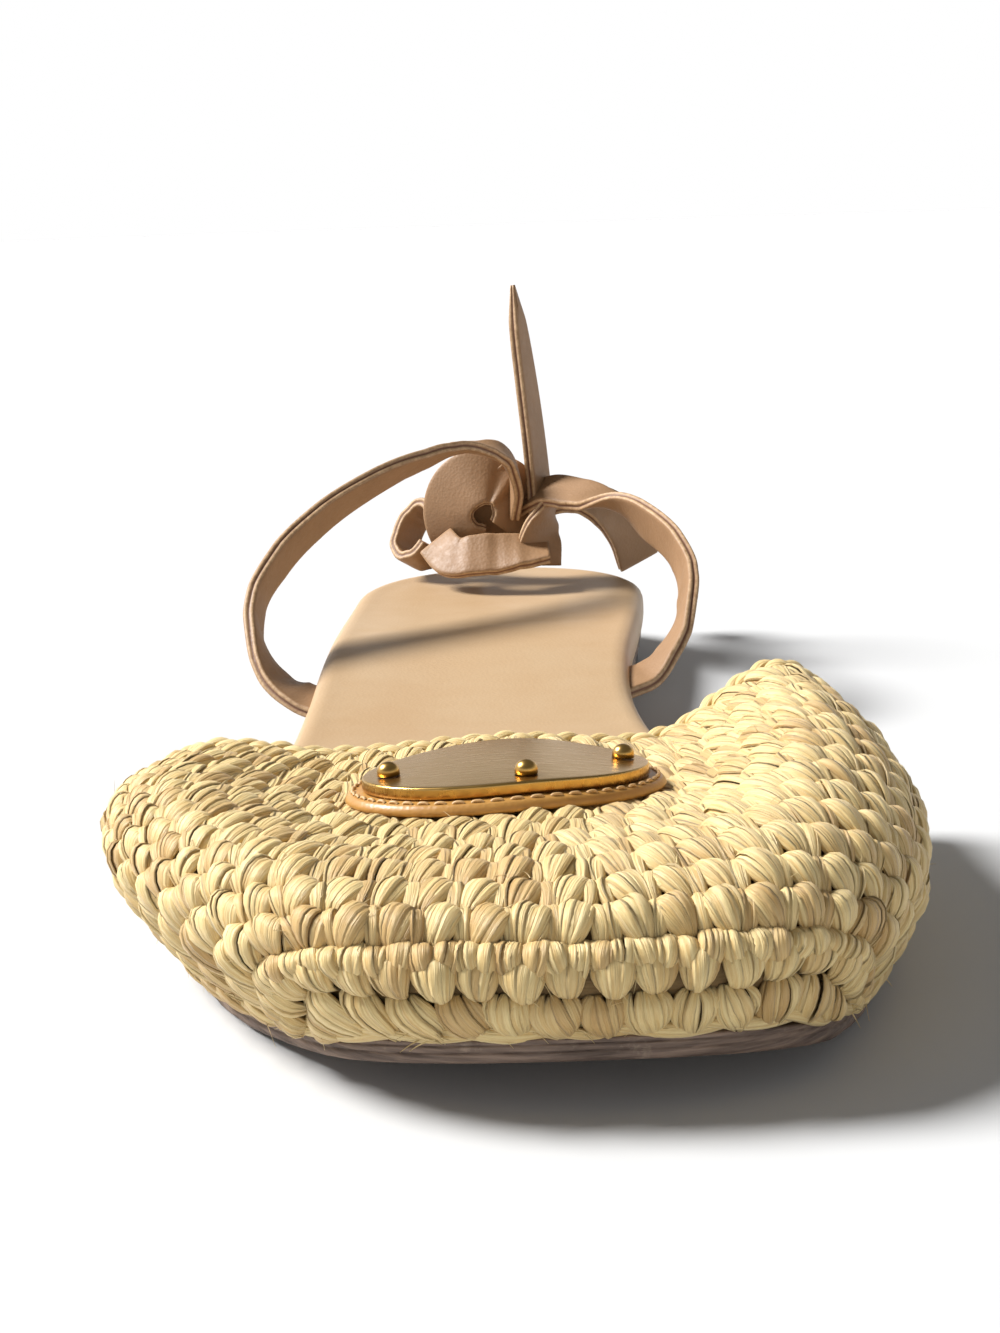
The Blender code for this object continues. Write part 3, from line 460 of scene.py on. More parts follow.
class Sweeps:
    """Swept rings gathered for one mesh, with the values that its material reads at each point."""

    def __init__(self):
        self.points, self.faces, self.values, self.count = [], [], {}, 0

    def gather(self, rings, capped=False, **values):
        """Adds one sweep, an array (ring, spoke, 3). A value is one for all its points or one for each."""
        length, around = rings.shape[:2]
        self.points.append(rings.reshape(-1, 3))
        self.faces += (tube_faces(length, around) + self.count).tolist()
        if capped:
            first = list(range(self.count, self.count + around))
            self.faces += [first[::-1], [point + (length - 1) * around for point in first]]
        self.count += length * around
        for key, value in values.items():
            own = np.shape(value)[2:]
            each = np.broadcast_to(value, (length, around, *own)).reshape(-1, *own)
            self.values.setdefault(key, []).append(each)

    def strand(self, rings, tone, number, depth):
        """Adds one strand of raffia, with what its surface needs to know.

        fibre is (distance along, distance around, a number of its own), tone is the strand's own shade, and
        depth is 0 at the wall and 1 at the crest; the material paints shade where depth is low.
        """
        length, around = rings.shape[:2]
        girth = np.linalg.norm(np.diff(rings, axis=1, append=rings[:, :1]), axis=2).sum(axis=1)
        fibre = np.empty((length, around, 3))
        fibre[..., 0] = run_of(rings.mean(axis=1))[:, None]
        fibre[..., 1] = girth.max() * np.linspace(0, 1, around)[None]
        fibre[..., 2] = number
        self.gather(rings, fibre=fibre, tone=tone, depth=depth)

    def piece(self, name, material, replaced, slot):
        values = {key: np.concatenate(each) for key, each in self.values.items()}
        new_piece(name, np.concatenate(self.points), self.faces, material, replaced, slot, **values)


def new_piece(name, points, faces, material, replaced, slot, **attributes):
    """One mesh piece that rides on the shoe and stands for the named solids. Points are (x, back, height)."""
    mesh = bpy.data.meshes.new(name)
    placed = (np.asarray(points, float) - (0, BALL_BACK, 0)) * MM
    mesh.from_pydata(placed.tolist(), [], faces)
    mesh.shade_smooth()
    for key, values in attributes.items():
        values = np.asarray(values, np.float32)
        kind, field = ("FLOAT_VECTOR", "vector") if values.ndim == 2 else ("FLOAT", "value")
        mesh.attributes.new(key, kind, "POINT").data.foreach_set(field, values.ravel())
    mesh.materials.append(material)
    piece = bpy.data.objects.new(name, mesh)
    bpy.context.scene.collection.objects.link(piece)
    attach(piece, "root")
    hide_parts(*replaced)


# Materials

# A colour mix's sockets and settings.
SHARE, FIRST, SECOND = 0, 6, 7
COLOUR_MIX = {"output": 2, "data_type": "RGBA"}


def add(tree, kind, inputs=None, output=0, **options):
    """Adds a node, sets its options, sets or links its inputs, and gives the output that is asked for."""
    made = tree.nodes.new("ShaderNode" + kind)
    for option, value in options.items():
        setattr(made, option, value)
    for socket, value in (inputs or {}).items():
        if isinstance(value, bpy.types.NodeSocket):
            tree.links.new(value, made.inputs[socket])
        else:
            made.inputs[socket].default_value = (*value, 1.0) if isinstance(value, Color) else value
    return made.outputs[output] if made.outputs else None


def surface(build):
    """Makes a material once, named for the function that adds its nodes and gives its shader."""
    @lru_cache(maxsize=None)
    @wraps(build)
    def made():
        material = bpy.data.materials.new(build.__name__)
        material.use_nodes = True
        tree = material.node_tree
        tree.nodes.clear()
        add(tree, "OutputMaterial", {"Surface": build(tree)})
        return material
    return made


def scale_of(size):
    """A texture's scale for a pattern of this many millimetres."""
    return 1 / (size * MM)


@surface
def crocheted_raffia(tree):
    """Raffia palm: split, dried leaf in bundles, crocheted.

    Satin straw with fine fibre streaks about 9 mm long, in leaf splits of 20 mm, and painted shade in the
    holes.
    """
    look = bpy.context.scene.sandal_raffia
    fibre = add(tree, "Attribute", output="Vector", attribute_name="fibre")
    tone = add(tree, "Attribute", output="Fac", attribute_name="tone")
    depth = add(tree, "Attribute", output="Fac", attribute_name="depth")
    # The fibre value is in millimetres. Its third figure only sets one strand's streaks apart from the next.
    across = MM / look.fibre_width
    drawn = add(tree, "Mapping", {"Vector": fibre, "Scale": (1 / 9.09, across, 7.3)})
    streak = add(tree, "TexNoise", {"Vector": drawn, "Scale": 1.0, "Detail": 4.0, "Roughness": 0.62})
    split = add(tree, "Mapping", {"Vector": fibre, "Scale": (1 / 20, across * 0.4, 3.1)})
    leaf = add(tree, "TexNoise", {"Vector": split, "Scale": 1.0, "Detail": 2.0})
    light = add(tree, "MapRange", {"Value": streak, "From Min": 0.36, "From Max": 0.62})
    fresh = add(tree, "Mix", {SHARE: light, FIRST: look.straw, SECOND: look.pale}, **COLOUR_MIX)
    browned = add(tree, "MapRange", {"Value": tone, "From Min": 0.55, "From Max": 1.0, "To Max": 0.6})
    toned = add(tree, "Mix", {SHARE: browned, FIRST: fresh, SECOND: look.aged}, **COLOUR_MIX)
    # Painted shade: where a strip lies deep, towards the wall, its colour is mixed towards the hole colour.
    painted_hole_shade = add(tree, "MapRange", {
        "Value": depth, "From Min": 0.0, "From Max": 0.36, "To Min": 0.88, "To Max": 0.0,
    })
    shaded = add(tree, "Mix", {SHARE: painted_hole_shade, FIRST: toned, SECOND: look.hollow}, **COLOUR_MIX)
    relief = add(tree, "Math", {0: streak, 1: leaf}, operation="ADD")
    bump = add(tree, "Bump", {"Height": relief, "Strength": 0.9, "Distance": 0.4 * MM})
    return add(tree, "BsdfPrincipled", {
        "Base Color": shaded, "Roughness": 0.5, "IOR": 1.5, "Sheen Weight": 0.12, "Sheen Roughness": 0.5,
        "Normal": bump,
    })


@surface
def raffia_backing(tree):
    """The crochet's wall behind its stitches: the same raffia packed tight, with painted shade.

    Straw with streaks 4 mm long and 0.45 mm wide, mixed with painted shade by each face's depth value.
    """
    look = bpy.context.scene.sandal_raffia
    fibre = add(tree, "Attribute", output="Vector", attribute_name="fibre")
    depth = add(tree, "Attribute", output="Fac", attribute_name="depth")
    drawn = add(tree, "Mapping", {"Vector": fibre, "Scale": (1 / 4, 1 / 0.4545, 1.0)})
    streak = add(tree, "TexNoise", {"Vector": drawn, "Scale": 1.0, "Detail": 4.0})
    straw = add(tree, "Mix", {SHARE: streak, FIRST: look.aged, SECOND: look.straw}, **COLOUR_MIX)
    # Painted shade: the outer face, seen only down in the holes, is mixed mostly to the hole colour, the
    # inner face a little.
    shaded = add(tree, "Mix", {SHARE: depth, FIRST: look.hollow, SECOND: straw}, **COLOUR_MIX)
    bump = add(tree, "Bump", {"Height": streak, "Strength": 0.6, "Distance": 0.4 * MM})
    return add(tree, "BsdfPrincipled", {"Base Color": shaded, "Roughness": 0.7, "Normal": bump})


@surface
def footbed_leather(tree):
    """Sheepskin stretched over a padded board: smooth, matt satin, with a soft mottle and fine pores.

    The mottle is 22 mm across, and the skin's fine creases 0.83 mm, coarser than its own to show.
    """
    look = bpy.context.scene.sandal_leather
    place = add(tree, "TexCoord", output="Object")
    cloud = add(tree, "TexNoise", {
        "Vector": place, "Scale": scale_of(22.22), "Detail": 5.0, "Roughness": 0.6,
    })
    fine = add(tree, "TexNoise", {"Vector": place, "Scale": scale_of(0.8333), "Detail": 3.0})
    pores = add(tree, "TexVoronoi", {"Vector": place, "Scale": 1.0 / look.grain})
    mottle = add(tree, "MapRange", {"Value": cloud, "From Min": 0.35, "From Max": 0.7})
    base = add(tree, "Mix", {SHARE: mottle, FIRST: look.tan, SECOND: look.warm}, **COLOUR_MIX)
    rough = add(tree, "MapRange", {
        "Value": cloud, "From Min": 0.3, "From Max": 0.7, "To Min": 0.44, "To Max": 0.56,
    })
    relief = add(tree, "Math", {0: pores, 1: fine}, operation="ADD")
    bump = add(tree, "Bump", {"Height": relief, "Strength": 0.12, "Distance": 0.2 * MM})
    return add(tree, "BsdfPrincipled", {
        "Base Color": base, "Roughness": rough, "IOR": 1.5, "Normal": bump,
    })


@surface
def tie_leather(tree):
    """Two layers of dyed calf glued back to back and cut.

    Satin faces with a mottle of 9 mm, pale raw edges frayed every 1.25 mm, and a dark glue line between.
    """
    look = bpy.context.scene.sandal_leather
    place = add(tree, "TexCoord", output="Object")
    raw = add(tree, "Attribute", output="Fac", attribute_name="raw")
    seam = add(tree, "Attribute", output="Fac", attribute_name="seam")
    cloud = add(tree, "TexNoise", {
        "Vector": place, "Scale": scale_of(9.091), "Detail": 5.0, "Roughness": 0.6,
    })
    pores = add(tree, "TexVoronoi", {"Vector": place, "Scale": 1.0 / look.grain})
    face = add(tree, "Mix", {SHARE: cloud, FIRST: look.tie, SECOND: look.tie_dark}, **COLOUR_MIX)
    nap = add(tree, "TexNoise", {"Vector": place, "Scale": scale_of(1.25), "Detail": 4.0, "Roughness": 0.7})
    frayed = add(tree, "Math", {0: raw, 1: nap, 2: 0.3}, operation="MULTIPLY_ADD")
    shown = add(tree, "MapRange", {"Value": frayed, "From Min": 0.55, "From Max": 0.9})
    edged = add(tree, "Mix", {SHARE: shown, FIRST: face, SECOND: look.raw_edge}, **COLOUR_MIX)
    glued = add(tree, "Mix", {SHARE: seam, FIRST: edged, SECOND: look.glue_line}, **COLOUR_MIX)
    bump = add(tree, "Bump", {"Height": pores, "Strength": 0.22, "Distance": 0.2 * MM})
    rough = add(tree, "MapRange", {
        "Value": nap, "From Min": 0.3, "From Max": 0.7, "To Min": 0.5, "To Max": 0.66,
    })
    return add(tree, "BsdfPrincipled", {
        "Base Color": glued, "Roughness": rough, "IOR": 1.5, "Normal": bump,
    })


@surface
def cut_sole_leather(tree):
    """Vegetable-tanned sole leather, cut and stained: layered fibres along the edge, greyed and scuffed.

    The layers are 0.67 mm thick and run 11 mm, and the scuffs are 6 mm across.
    """
    look = bpy.context.scene.sandal_sole
    place = add(tree, "TexCoord", output="Object")
    layered = add(tree, "Mapping", {
        "Vector": place, "Scale": (scale_of(11.11), scale_of(11.11), scale_of(0.6667)),
    })
    fibres = add(tree, "TexNoise", {"Vector": layered, "Scale": 1.0, "Detail": 6.0, "Roughness": 0.65})
    wear = add(tree, "TexNoise", {"Vector": place, "Scale": scale_of(6.25), "Detail": 6.0, "Roughness": 0.7})
    layers = add(tree, "MapRange", {"Value": fibres, "From Min": 0.35, "From Max": 0.65})
    base = add(tree, "Mix", {SHARE: layers, FIRST: look.sole_dark, SECOND: look.sole}, **COLOUR_MIX)
    rubbed = add(tree, "MapRange", {"Value": wear, "From Min": 0.58, "From Max": 0.75, "To Max": 0.7})
    worn = add(tree, "Mix", {SHARE: rubbed, FIRST: base, SECOND: look.scuff}, **COLOUR_MIX)
    bump = add(tree, "Bump", {"Height": fibres, "Strength": 0.6, "Distance": 0.3 * MM})
    return add(tree, "BsdfPrincipled", {"Base Color": worn, "Roughness": 0.68, "IOR": 1.5, "Normal": bump})


@surface
def heel_rubber(tree):
    """Moulded heel rubber with a fine grit of 0.7 mm, and patches of settled dust 8 mm across."""
    look = bpy.context.scene.sandal_sole
    place = add(tree, "TexCoord", output="Object")
    grit = add(tree, "TexNoise", {"Vector": place, "Scale": scale_of(0.7143), "Detail": 3.0})
    dust = add(tree, "TexNoise", {"Vector": place, "Scale": scale_of(8.333), "Detail": 6.0, "Roughness": 0.7})
    settled = add(tree, "MapRange", {"Value": dust, "From Min": 0.5, "From Max": 0.8, "To Max": 0.5})
    dusty = add(tree, "Mix", {SHARE: settled, FIRST: look.heel, SECOND: look.sole}, **COLOUR_MIX)
    bump = add(tree, "Bump", {"Height": grit, "Strength": 0.3, "Distance": 0.2 * MM})
    return add(tree, "BsdfPrincipled", {"Base Color": dusty, "Roughness": 0.72, "IOR": 1.52, "Normal": bump})


@surface
def gilt_brass(tree):
    """Gilt brass, stamped and polished: warm, slightly hazed by rub marks 4 mm long and 0.4 mm wide."""
    look = bpy.context.scene.sandal_metal
    place = add(tree, "TexCoord", output="Object")
    drawn = add(tree, "Mapping", {"Vector": place, "Scale": (scale_of(4), scale_of(0.3846), scale_of(4))})
    rubs = add(tree, "TexNoise", {"Vector": drawn, "Scale": 1.0, "Detail": 4.0})
    haze = add(tree, "MapRange", {
        "Value": rubs, "From Min": 0.3, "From Max": 0.7,
        "To Min": look.polish - 0.04, "To Max": look.polish + 0.06,
    })
    return add(tree, "BsdfPrincipled", {"Base Color": look.gilt, "Metallic": 1.0, "Roughness": haze})


@surface
def backing_leather(tree):
    """A thin calf patch with a burnished tone in clouds of 3 mm, under the plate."""
    look = bpy.context.scene.sandal_leather
    place = add(tree, "TexCoord", output="Object")
    cloud = add(tree, "TexNoise", {"Vector": place, "Scale": scale_of(3.333), "Detail": 5.0})
    pores = add(tree, "TexVoronoi", {"Vector": place, "Scale": 1.0 / look.grain})
    base = add(tree, "Mix", {SHARE: cloud, FIRST: look.patch, SECOND: look.patch_dark}, **COLOUR_MIX)
    bump = add(tree, "Bump", {"Height": pores, "Strength": 0.2, "Distance": 0.2 * MM})
    return add(tree, "BsdfPrincipled", {"Base Color": base, "Roughness": 0.4, "IOR": 1.5, "Normal": bump})


@surface
def waxed_thread(tree):
    """Waxed linen sewing thread: pale, its plies 0.4 mm apart, slightly glossy."""
    look = bpy.context.scene.sandal_leather
    place = add(tree, "TexCoord", output="Object")
    ply = add(tree, "TexNoise", {"Vector": place, "Scale": scale_of(0.4), "Detail": 2.0})
    base = add(tree, "Mix", {SHARE: ply, FIRST: look.raw_edge, SECOND: look.patch}, **COLOUR_MIX)
    return add(tree, "BsdfPrincipled", {"Base Color": base, "Roughness": 0.5, "IOR": 1.5})


@surface
def studio_paper(tree):
    """Seamless white paper, matt, with only the faintest tooth of 0.56 mm, coarser than its own to show."""
    look = bpy.context.scene.sandal_stage
    place = add(tree, "TexCoord", output="Object")
    tooth = add(tree, "TexNoise", {"Vector": place, "Scale": scale_of(0.5556), "Detail": 2.0})
    bump = add(tree, "Bump", {"Height": tooth, "Strength": 0.03, "Distance": 0.2 * MM})
    return add(tree, "BsdfPrincipled", {"Base Color": look.paper, "Roughness": 0.9, "Normal": bump})


# Sole outline and heights

def end_share(distance, depth, power):
    """How wide a rounded end is at this distance from it, as a share of the full width."""
    near = np.clip(distance / depth, 0.0, 1.0)
    return (1 - (1 - near) ** power) ** (1 / power)


def sole_edges(back, inset_lateral=0.0, inset_medial=0.0, toe=0.0, heel=SOLE_LENGTH):
    """x of the outline's two sides at these stations, drawn in by the insets and rounded at both ends."""
    stations = SoleStation(*np.array(SOLE_STATIONS).T)
    lateral = smooth(stations.back, stations.lateral, back) + inset_lateral
    medial = smooth(stations.back, stations.medial, back) - inset_medial
    share = end_share(back - toe, TOE_ROUND, TOE_POWER) * end_share(heel - back, HEEL_ROUND, HEEL_POWER)
    middle = (lateral + medial) / 2
    half = (medial - lateral) / 2 * share
    return middle - half, middle + half


def heel_edges(back):
    return sole_edges(back, HEEL_INSET, HEEL_INSET, heel=SOLE_LENGTH - HEEL_INSET)


def insole_edges(back):
    """The insole lies inside the vamp's wall at the toe, and reaches over the outsole behind it."""
    inside = VAMP_WALL + INSOLE_ROOM
    insets = []
    for sections in (LATERAL_SECTIONS, MEDIAL_SECTIONS):
        rear = sections[-1].foot_back + VAMP_WALL
        insets.append(inside - (inside + INSOLE_OVERHANG) * ease(back, rear, rear + INSOLE_STEP))
    return sole_edges(back, *insets, toe=INSOLE_TOE, heel=SOLE_LENGTH + INSOLE_OVERHANG)


def sole_bottom(back):
    """Height of the outsole's underside: toe spring, flat forefoot, rising waist, level heel seat."""
    spring = np.maximum(0.0, 1 - back / TOE_SPRING_END)
    return TOE_SPRING * spring**2 + (HEEL_LIFT_HEIGHT + GAP) * ease(back, WAIST_START, WAIST_END)


def sole_top(back):
    return sole_bottom(back) + OUTSOLE_THICK


def on_sole(back):
    """Height at which what lies on the outsole starts."""
    return sole_top(back) + GAP


def insole_top(back):
    return on_sole(back) + INSOLE_THICK


def outline(edges, first, last, count):
    """A closed plan outline, from the toe end down the big-toe side and up the little-toe side."""
    back = first + (last - first) * (1 - np.cos(np.linspace(0, pi, OUTLINE_STEPS))) / 2
    lateral, medial = edges(back)
    down, up = np.column_stack([medial, back]), np.column_stack([lateral, back])[::-1]
    loop = np.concatenate([down, up, down[:1]])
    run = run_of(loop)
    return points_at(np.linspace(0, run[-1], count, endpoint=False), run, loop)


def spine_middle(loop):
    """The outline's middle line, as backs in order and the x halfway between its sides."""
    start = int(np.argmin(loop[:, 1]))
    turn = (int(np.argmax(loop[:, 1])) - start) % len(loop)
    x, back = np.roll(loop, -start, axis=0).T
    backs = np.linspace(back.min(), back.max(), SPINE_STEPS)
    medial = np.interp(backs, back[:turn + 1], x[:turn + 1])
    lateral = np.interp(backs, back[turn:][::-1], x[turn:][::-1])
    return backs, (medial + lateral) / 2


def slab(loop, edge, low, high, spine_inset, relief=None, wander=None):
    """Points and faces of a flat piece, as rings.

    They go from its underside's middle out, round its edge and in over the top.
    """
    ahead = np.roll(loop, -1, axis=0) - np.roll(loop, 1, axis=0)
    inward = unit(np.column_stack([-ahead[:, 1], ahead[:, 0]]))
    toe, heel = loop[:, 1].min() + spine_inset, loop[:, 1].max() - spine_inset
    spine_back = np.clip(loop[:, 1], toe, heel)
    spine = np.column_stack([np.interp(spine_back, *spine_middle(loop)), spine_back])
    rings = []
    bottom = loop + inward * edge[0].inset
    for share in INNER_SHARES[::-1]:
        plan = spine + (bottom - spine) * share
        rings.append(np.column_stack([plan, low(plan[:, 1])]))
    for point in edge:
        inset = np.full(len(loop), point.inset)
        if wander is not None and 0 < point.level < 1:
            inset = inset + wander()
        plan = loop + inward * inset[:, None]
        height = low(plan[:, 1]) * (1 - point.level) + high(plan[:, 1]) * point.level
        rings.append(np.column_stack([plan, height]))
    top = loop + inward * edge[-1].inset
    for share in INNER_SHARES:
        plan = spine + (top - spine) * share
        height = high(plan[:, 1])
        if relief is not None:
            height = height + relief(*plan.T) * ease(1 - share, 0.0, RELIEF_FADE)
        rings.append(np.column_stack([plan, height]))
    return np.concatenate(rings), tube_faces(len(rings), len(loop)).tolist()


def footbed_relief(x, back):
    """Shallow hollows and flex lines of the footbed's top."""
    height = np.zeros_like(x)
    for hollow in FOOT_HOLLOWS:
        off = ((x - hollow.x) / hollow.half_width) ** 2 + ((back - hollow.back) / hollow.half_length) ** 2
        height -= hollow.depth * np.exp(-off)
    for line in FLEX_LINES:
        at = line.back + line.slant * x + line.bow * (x / FLEX_REACH) ** 2
        off = (back - at) / line.width
        height -= line.depth * np.exp(-off**2) * (1 - FLEX_LIP * (off > 0) * off * np.exp(-off**2))
    return height


# The vamp's surface

def row_line(share):
    """The vamp's outer line at this share of the way from the toe edge to the throat, as nine points."""
    centre = np.array(CENTRE_SECTIONS)
    middle = smooth(centre[:, 0], centre[:, 1:], share)
    line = []
    for sections, edge in ((LATERAL_SECTIONS, 0), (MEDIAL_SECTIONS, 1)):
        table = np.array(sections)
        side = smooth(table[:, 0], table[:, 1:], share)
        lobe, wall, foot_back = side[0:3], side[3:6], float(side[6])
        foot = np.array([sole_edges(foot_back)[edge], foot_back, on_sole(foot_back)])
        hollow = middle + (lobe - middle) * HOLLOW_SHARE
        hollow[2] += (middle[2] - ARCH_RISE - hollow[2]) * ease(share, HOLLOW_START, HOLLOW_END)
        half = [foot, wall, lobe, hollow]
        line += half if edge == 0 else [middle] + half[::-1]
    return np.array(line)


@lru_cache(maxsize=None)
def vamp_surface():
    """The vamp's outer face as a fine grid over (share, place): points, outward directions, row lengths."""
    shares, places = (np.linspace(0, 1, count) for count in SURFACE_GRID)
    lines = [along(row_line(share), places) for share in shares]
    points = np.array([line for line, _ in lines])
    lengths = np.array([length for _, length in lines])
    out = unit(np.cross(np.gradient(points, axis=1), np.gradient(points, axis=0)))
    return points, out, lengths


def grid_at(grid, share, place):
    """Values of a grid over (share, place), straight-line between its points."""
    s = np.clip(share, 0, 1) * (grid.shape[0] - 1)
    p = np.clip(place, 0, 1) * (grid.shape[1] - 1)
    i = np.minimum(s.astype(int), grid.shape[0] - 2)
    j = np.minimum(p.astype(int), grid.shape[1] - 2)
    s, p = (s - i)[..., None], (p - j)[..., None]
    low = grid[i, j] * (1 - p) + grid[i, j + 1] * p
    high = grid[i + 1, j] * (1 - p) + grid[i + 1, j + 1] * p
    return low * (1 - s) + high * s


def vamp_out(share, place):
    """The way out of the vamp's wall."""
    share, place = np.broadcast_arrays(np.asarray(share, float), np.asarray(place, float))
    return unit(grid_at(vamp_surface()[1], np.clip(share, CORNER, 1), np.clip(place, CORNER, 1 - CORNER)))


def on_vamp(share, place, lift=0.0):
    """Points this far outside the vamp's wall."""
    share, place = np.broadcast_arrays(np.asarray(share, float), np.asarray(place, float))
    return grid_at(vamp_surface()[0], share, place) + vamp_out(share, place) * np.asarray(lift)[..., None]


def by_place(share, place, step):
    """How far a point of the vamp moves with its place in the row."""
    return (on_vamp(share, place + step) - on_vamp(share, place - step)) / (2 * step)


def row_length(share):
    lengths = vamp_surface()[2]
    return float(np.interp(share, np.linspace(0, 1, len(lengths)), lengths))


def vamp_place(x, back):
    """(share, place) of the vamp's surface over these plan positions, found step by step round the plate."""
    x, back = np.asarray(x, float), np.asarray(back, float)
    share, place = np.full(x.shape, 0.75), np.full(x.shape, 0.5)
    step = 0.01
    for _ in range(14):
        here = on_vamp(share, place)
        high = np.minimum(share + step, 1)
        with_share = (on_vamp(high, place) - on_vamp(share - step, place)) / (high - share + step)[..., None]
        with_place = by_place(share, place, step)
        miss_x, miss_back = x - here[..., 0], back - here[..., 1]
        det = with_share[..., 0] * with_place[..., 1] - with_share[..., 1] * with_place[..., 0]
        share = share + (miss_x * with_place[..., 1] - miss_back * with_place[..., 0]) / det
        place = place + (miss_back * with_share[..., 0] - miss_x * with_share[..., 1]) / det
        share, place = np.clip(share, 0.3, 1.0), np.clip(place, 0.2, 0.8)
    return share, place


def under_plate(points):
    """1 where the plate's backing lies over these points, easing to 0 outside it."""
    x, back = points[..., 0] - PLATE_X, points[..., 1] - PLATE_BACK
    across = (x * cos(PLATE_TURN) + back * sin(PLATE_TURN)) / (PLATE_HALF_WIDTH + BACKING_BORDER)
    rearward = (back * cos(PLATE_TURN) - x * sin(PLATE_TURN)) / (PLATE_HALF_LENGTH + BACKING_BORDER)
    return ease(np.sqrt(across**2 + rearward**2), 1.22, 1.0)


# Crochet

def crochet_row(strands, row, bundle, rng, crest, way=1, turn_at=0):
    """All bundles of one kind in one row: strips of raffia side by side over a rounded form, no two alike.

    The bundles lean one way, 1 or -1, from the place turn_at on, and the other way before it.
    """
    share = (row + 0.5) / VAMP_ROWS
    count = max(FEWEST_STITCHES, round(row_length(share) / STITCH_PITCH))
    pitch = row_length(share) / count
    knots = np.linspace(0, 1, len(bundle.points))
    form = BundlePoint(*smooth(knots, bundle.points, np.linspace(0, 1, BUNDLE_RINGS)).T)
    run = np.linspace(-1, 1, BUNDLE_RINGS)
    spokes = round_turn(STRIP_SPOKES)
    middles = (np.arange(count) + 0.5) / count
    rises = on_vamp((row + 1) / VAMP_ROWS, middles) - on_vamp(row / VAMP_ROWS, middles)
    row_ways = by_place(share, middles, 0.01)
    slips = np.sum(rises * row_ways, axis=1) / np.sum(row_ways ** 2, axis=1)
    talls = np.linalg.norm(rises - row_ways * slips[:, None], axis=1)
    evening = np.full(2 * SLIP_EASE + 1, 1 / (2 * SLIP_EASE + 1))
    slips = np.convolve(np.pad(slips, SLIP_EASE, "edge"), evening, "valid")
    for k, (middle, slip, tall) in enumerate(zip(middles, slips, talls)):
        size = crest / USUAL_CREST * (1 - PLATE_PRESS * under_plate(on_vamp(share, middle)))
        lean, shift, grow, plump = rng.normal((0, 0, 1, 1), STITCH_SPREAD[:4])
        across = (way if middle > turn_at else -way) * form.across + shift + lean * (form.up - 0.5)
        up = form.up + rng.normal(0, STITCH_SPREAD.up)
        heading = unit(np.column_stack([np.gradient(across) * pitch, np.gradient(up) * tall]))
        side = np.column_stack([-heading[:, 1], heading[:, 0]])
        wide = form.half * pitch * grow
        deep = form.deep * plump * size
        tone, twist = rng.uniform(), rng.normal(0, STITCH_SPREAD.twist)
        for strip in range(bundle.strips):
            place = (strip + 0.5 + rng.normal(0, STRIP_SPREAD.place)) / bundle.strips - 0.5
            turn = pi / 2 + STRIP_FAN * place + (twist + rng.normal(0, STRIP_SPREAD.turn)) * run
            over = unit(np.column_stack([deep * np.cos(turn), wide * np.sin(turn)]))
            broad = STRIP_OVERLAP * rng.uniform(*STRIP_SPREAD.half) * STRIP_FAN
            half = (broad * (wide + deep) / (4 * bundle.strips))[:, None]
            thick = STRIP_THICK * rng.uniform(*STRIP_SPREAD.thick) * size
            bulge, sway = rng.normal(0, STRIP_SPREAD.bulge) * size, rng.normal(0, STRIP_SPREAD.sway)
            off = (wide * np.cos(turn))[:, None] + half * np.cos(spokes) * over[:, 1:]
            off = off + thick * np.sin(spokes) * over[:, :1] + sway * run[:, None] ** 2
            lift = (form.lift * size + deep * np.sin(turn) + bulge)[:, None]
            lift = lift - half * np.cos(spokes) * over[:, :1] + thick * np.sin(spokes) * over[:, 1:]
            a = across[:, None] + off * side[:, :1] / pitch
            u = up[:, None] + off * side[:, 1:] / tall
            rings = on_vamp((row + u) / VAMP_ROWS, (k + 0.5 + a) / count - slip * (u - 0.5), lift)
            shade = np.clip(tone + rng.normal(0, STRIP_SPREAD.shade), 0, 1)
            # Painted shade: this value darkens a strip the lower it lies towards the wall.
            depth = np.clip((lift - HOLE_LIFT) / (CREST_LIFT - HOLE_LIFT), 0, 1)
            strands.strand(rings, shade, rng.uniform(0, STRAND_NUMBERS), depth)


def edge_strand(strands, rng):
    """The strand that the first row is worked on: two plies round the vamp's foot, from throat to throat."""
    side, front = 90, 110
    shares = np.concatenate([
        np.linspace(0.985, 0.03, side), np.full(front, STRAND_INSET), np.linspace(0.03, 0.985, side),
    ])
    places = np.concatenate([
        np.full(side, STRAND_INSET), np.linspace(0.02, 0.98, front), np.full(side, 1 - STRAND_INSET),
    ])
    base = on_vamp(shares, places, STRAND_LIFT)
    for _ in range(STRAND_EVENINGS):
        base[1:-1] = (base[:-2] + 2 * base[1:-1] + base[2:]) / 4
    run = run_of(base)
    fine = np.linspace(0, run[-1], STRAND_RINGS)
    path = points_at(fine, run, base)
    out = vamp_out(np.interp(fine, run, shares), np.interp(fine, run, places))
    over = np.cross(unit(np.gradient(path, axis=0)), out)
    for ply in range(2):
        turn = 2 * pi * fine / STRAND_TURN + pi * ply
        wave = 1 + 0.12 * np.sin(fine / 2.3 + ply) + 0.08 * rng.normal(size=len(fine)).cumsum() / 20
        line = path + (out * np.cos(turn)[:, None] + over * np.sin(turn)[:, None]) * STRAND_APART
        rings = tube(line, out, STRAND_HALF * wave, STRAND_DEEP * wave, PLY_SPOKES)
        strands.strand(rings, rng.uniform(0, 0.6), rng.uniform(0, STRAND_NUMBERS), 0.75)


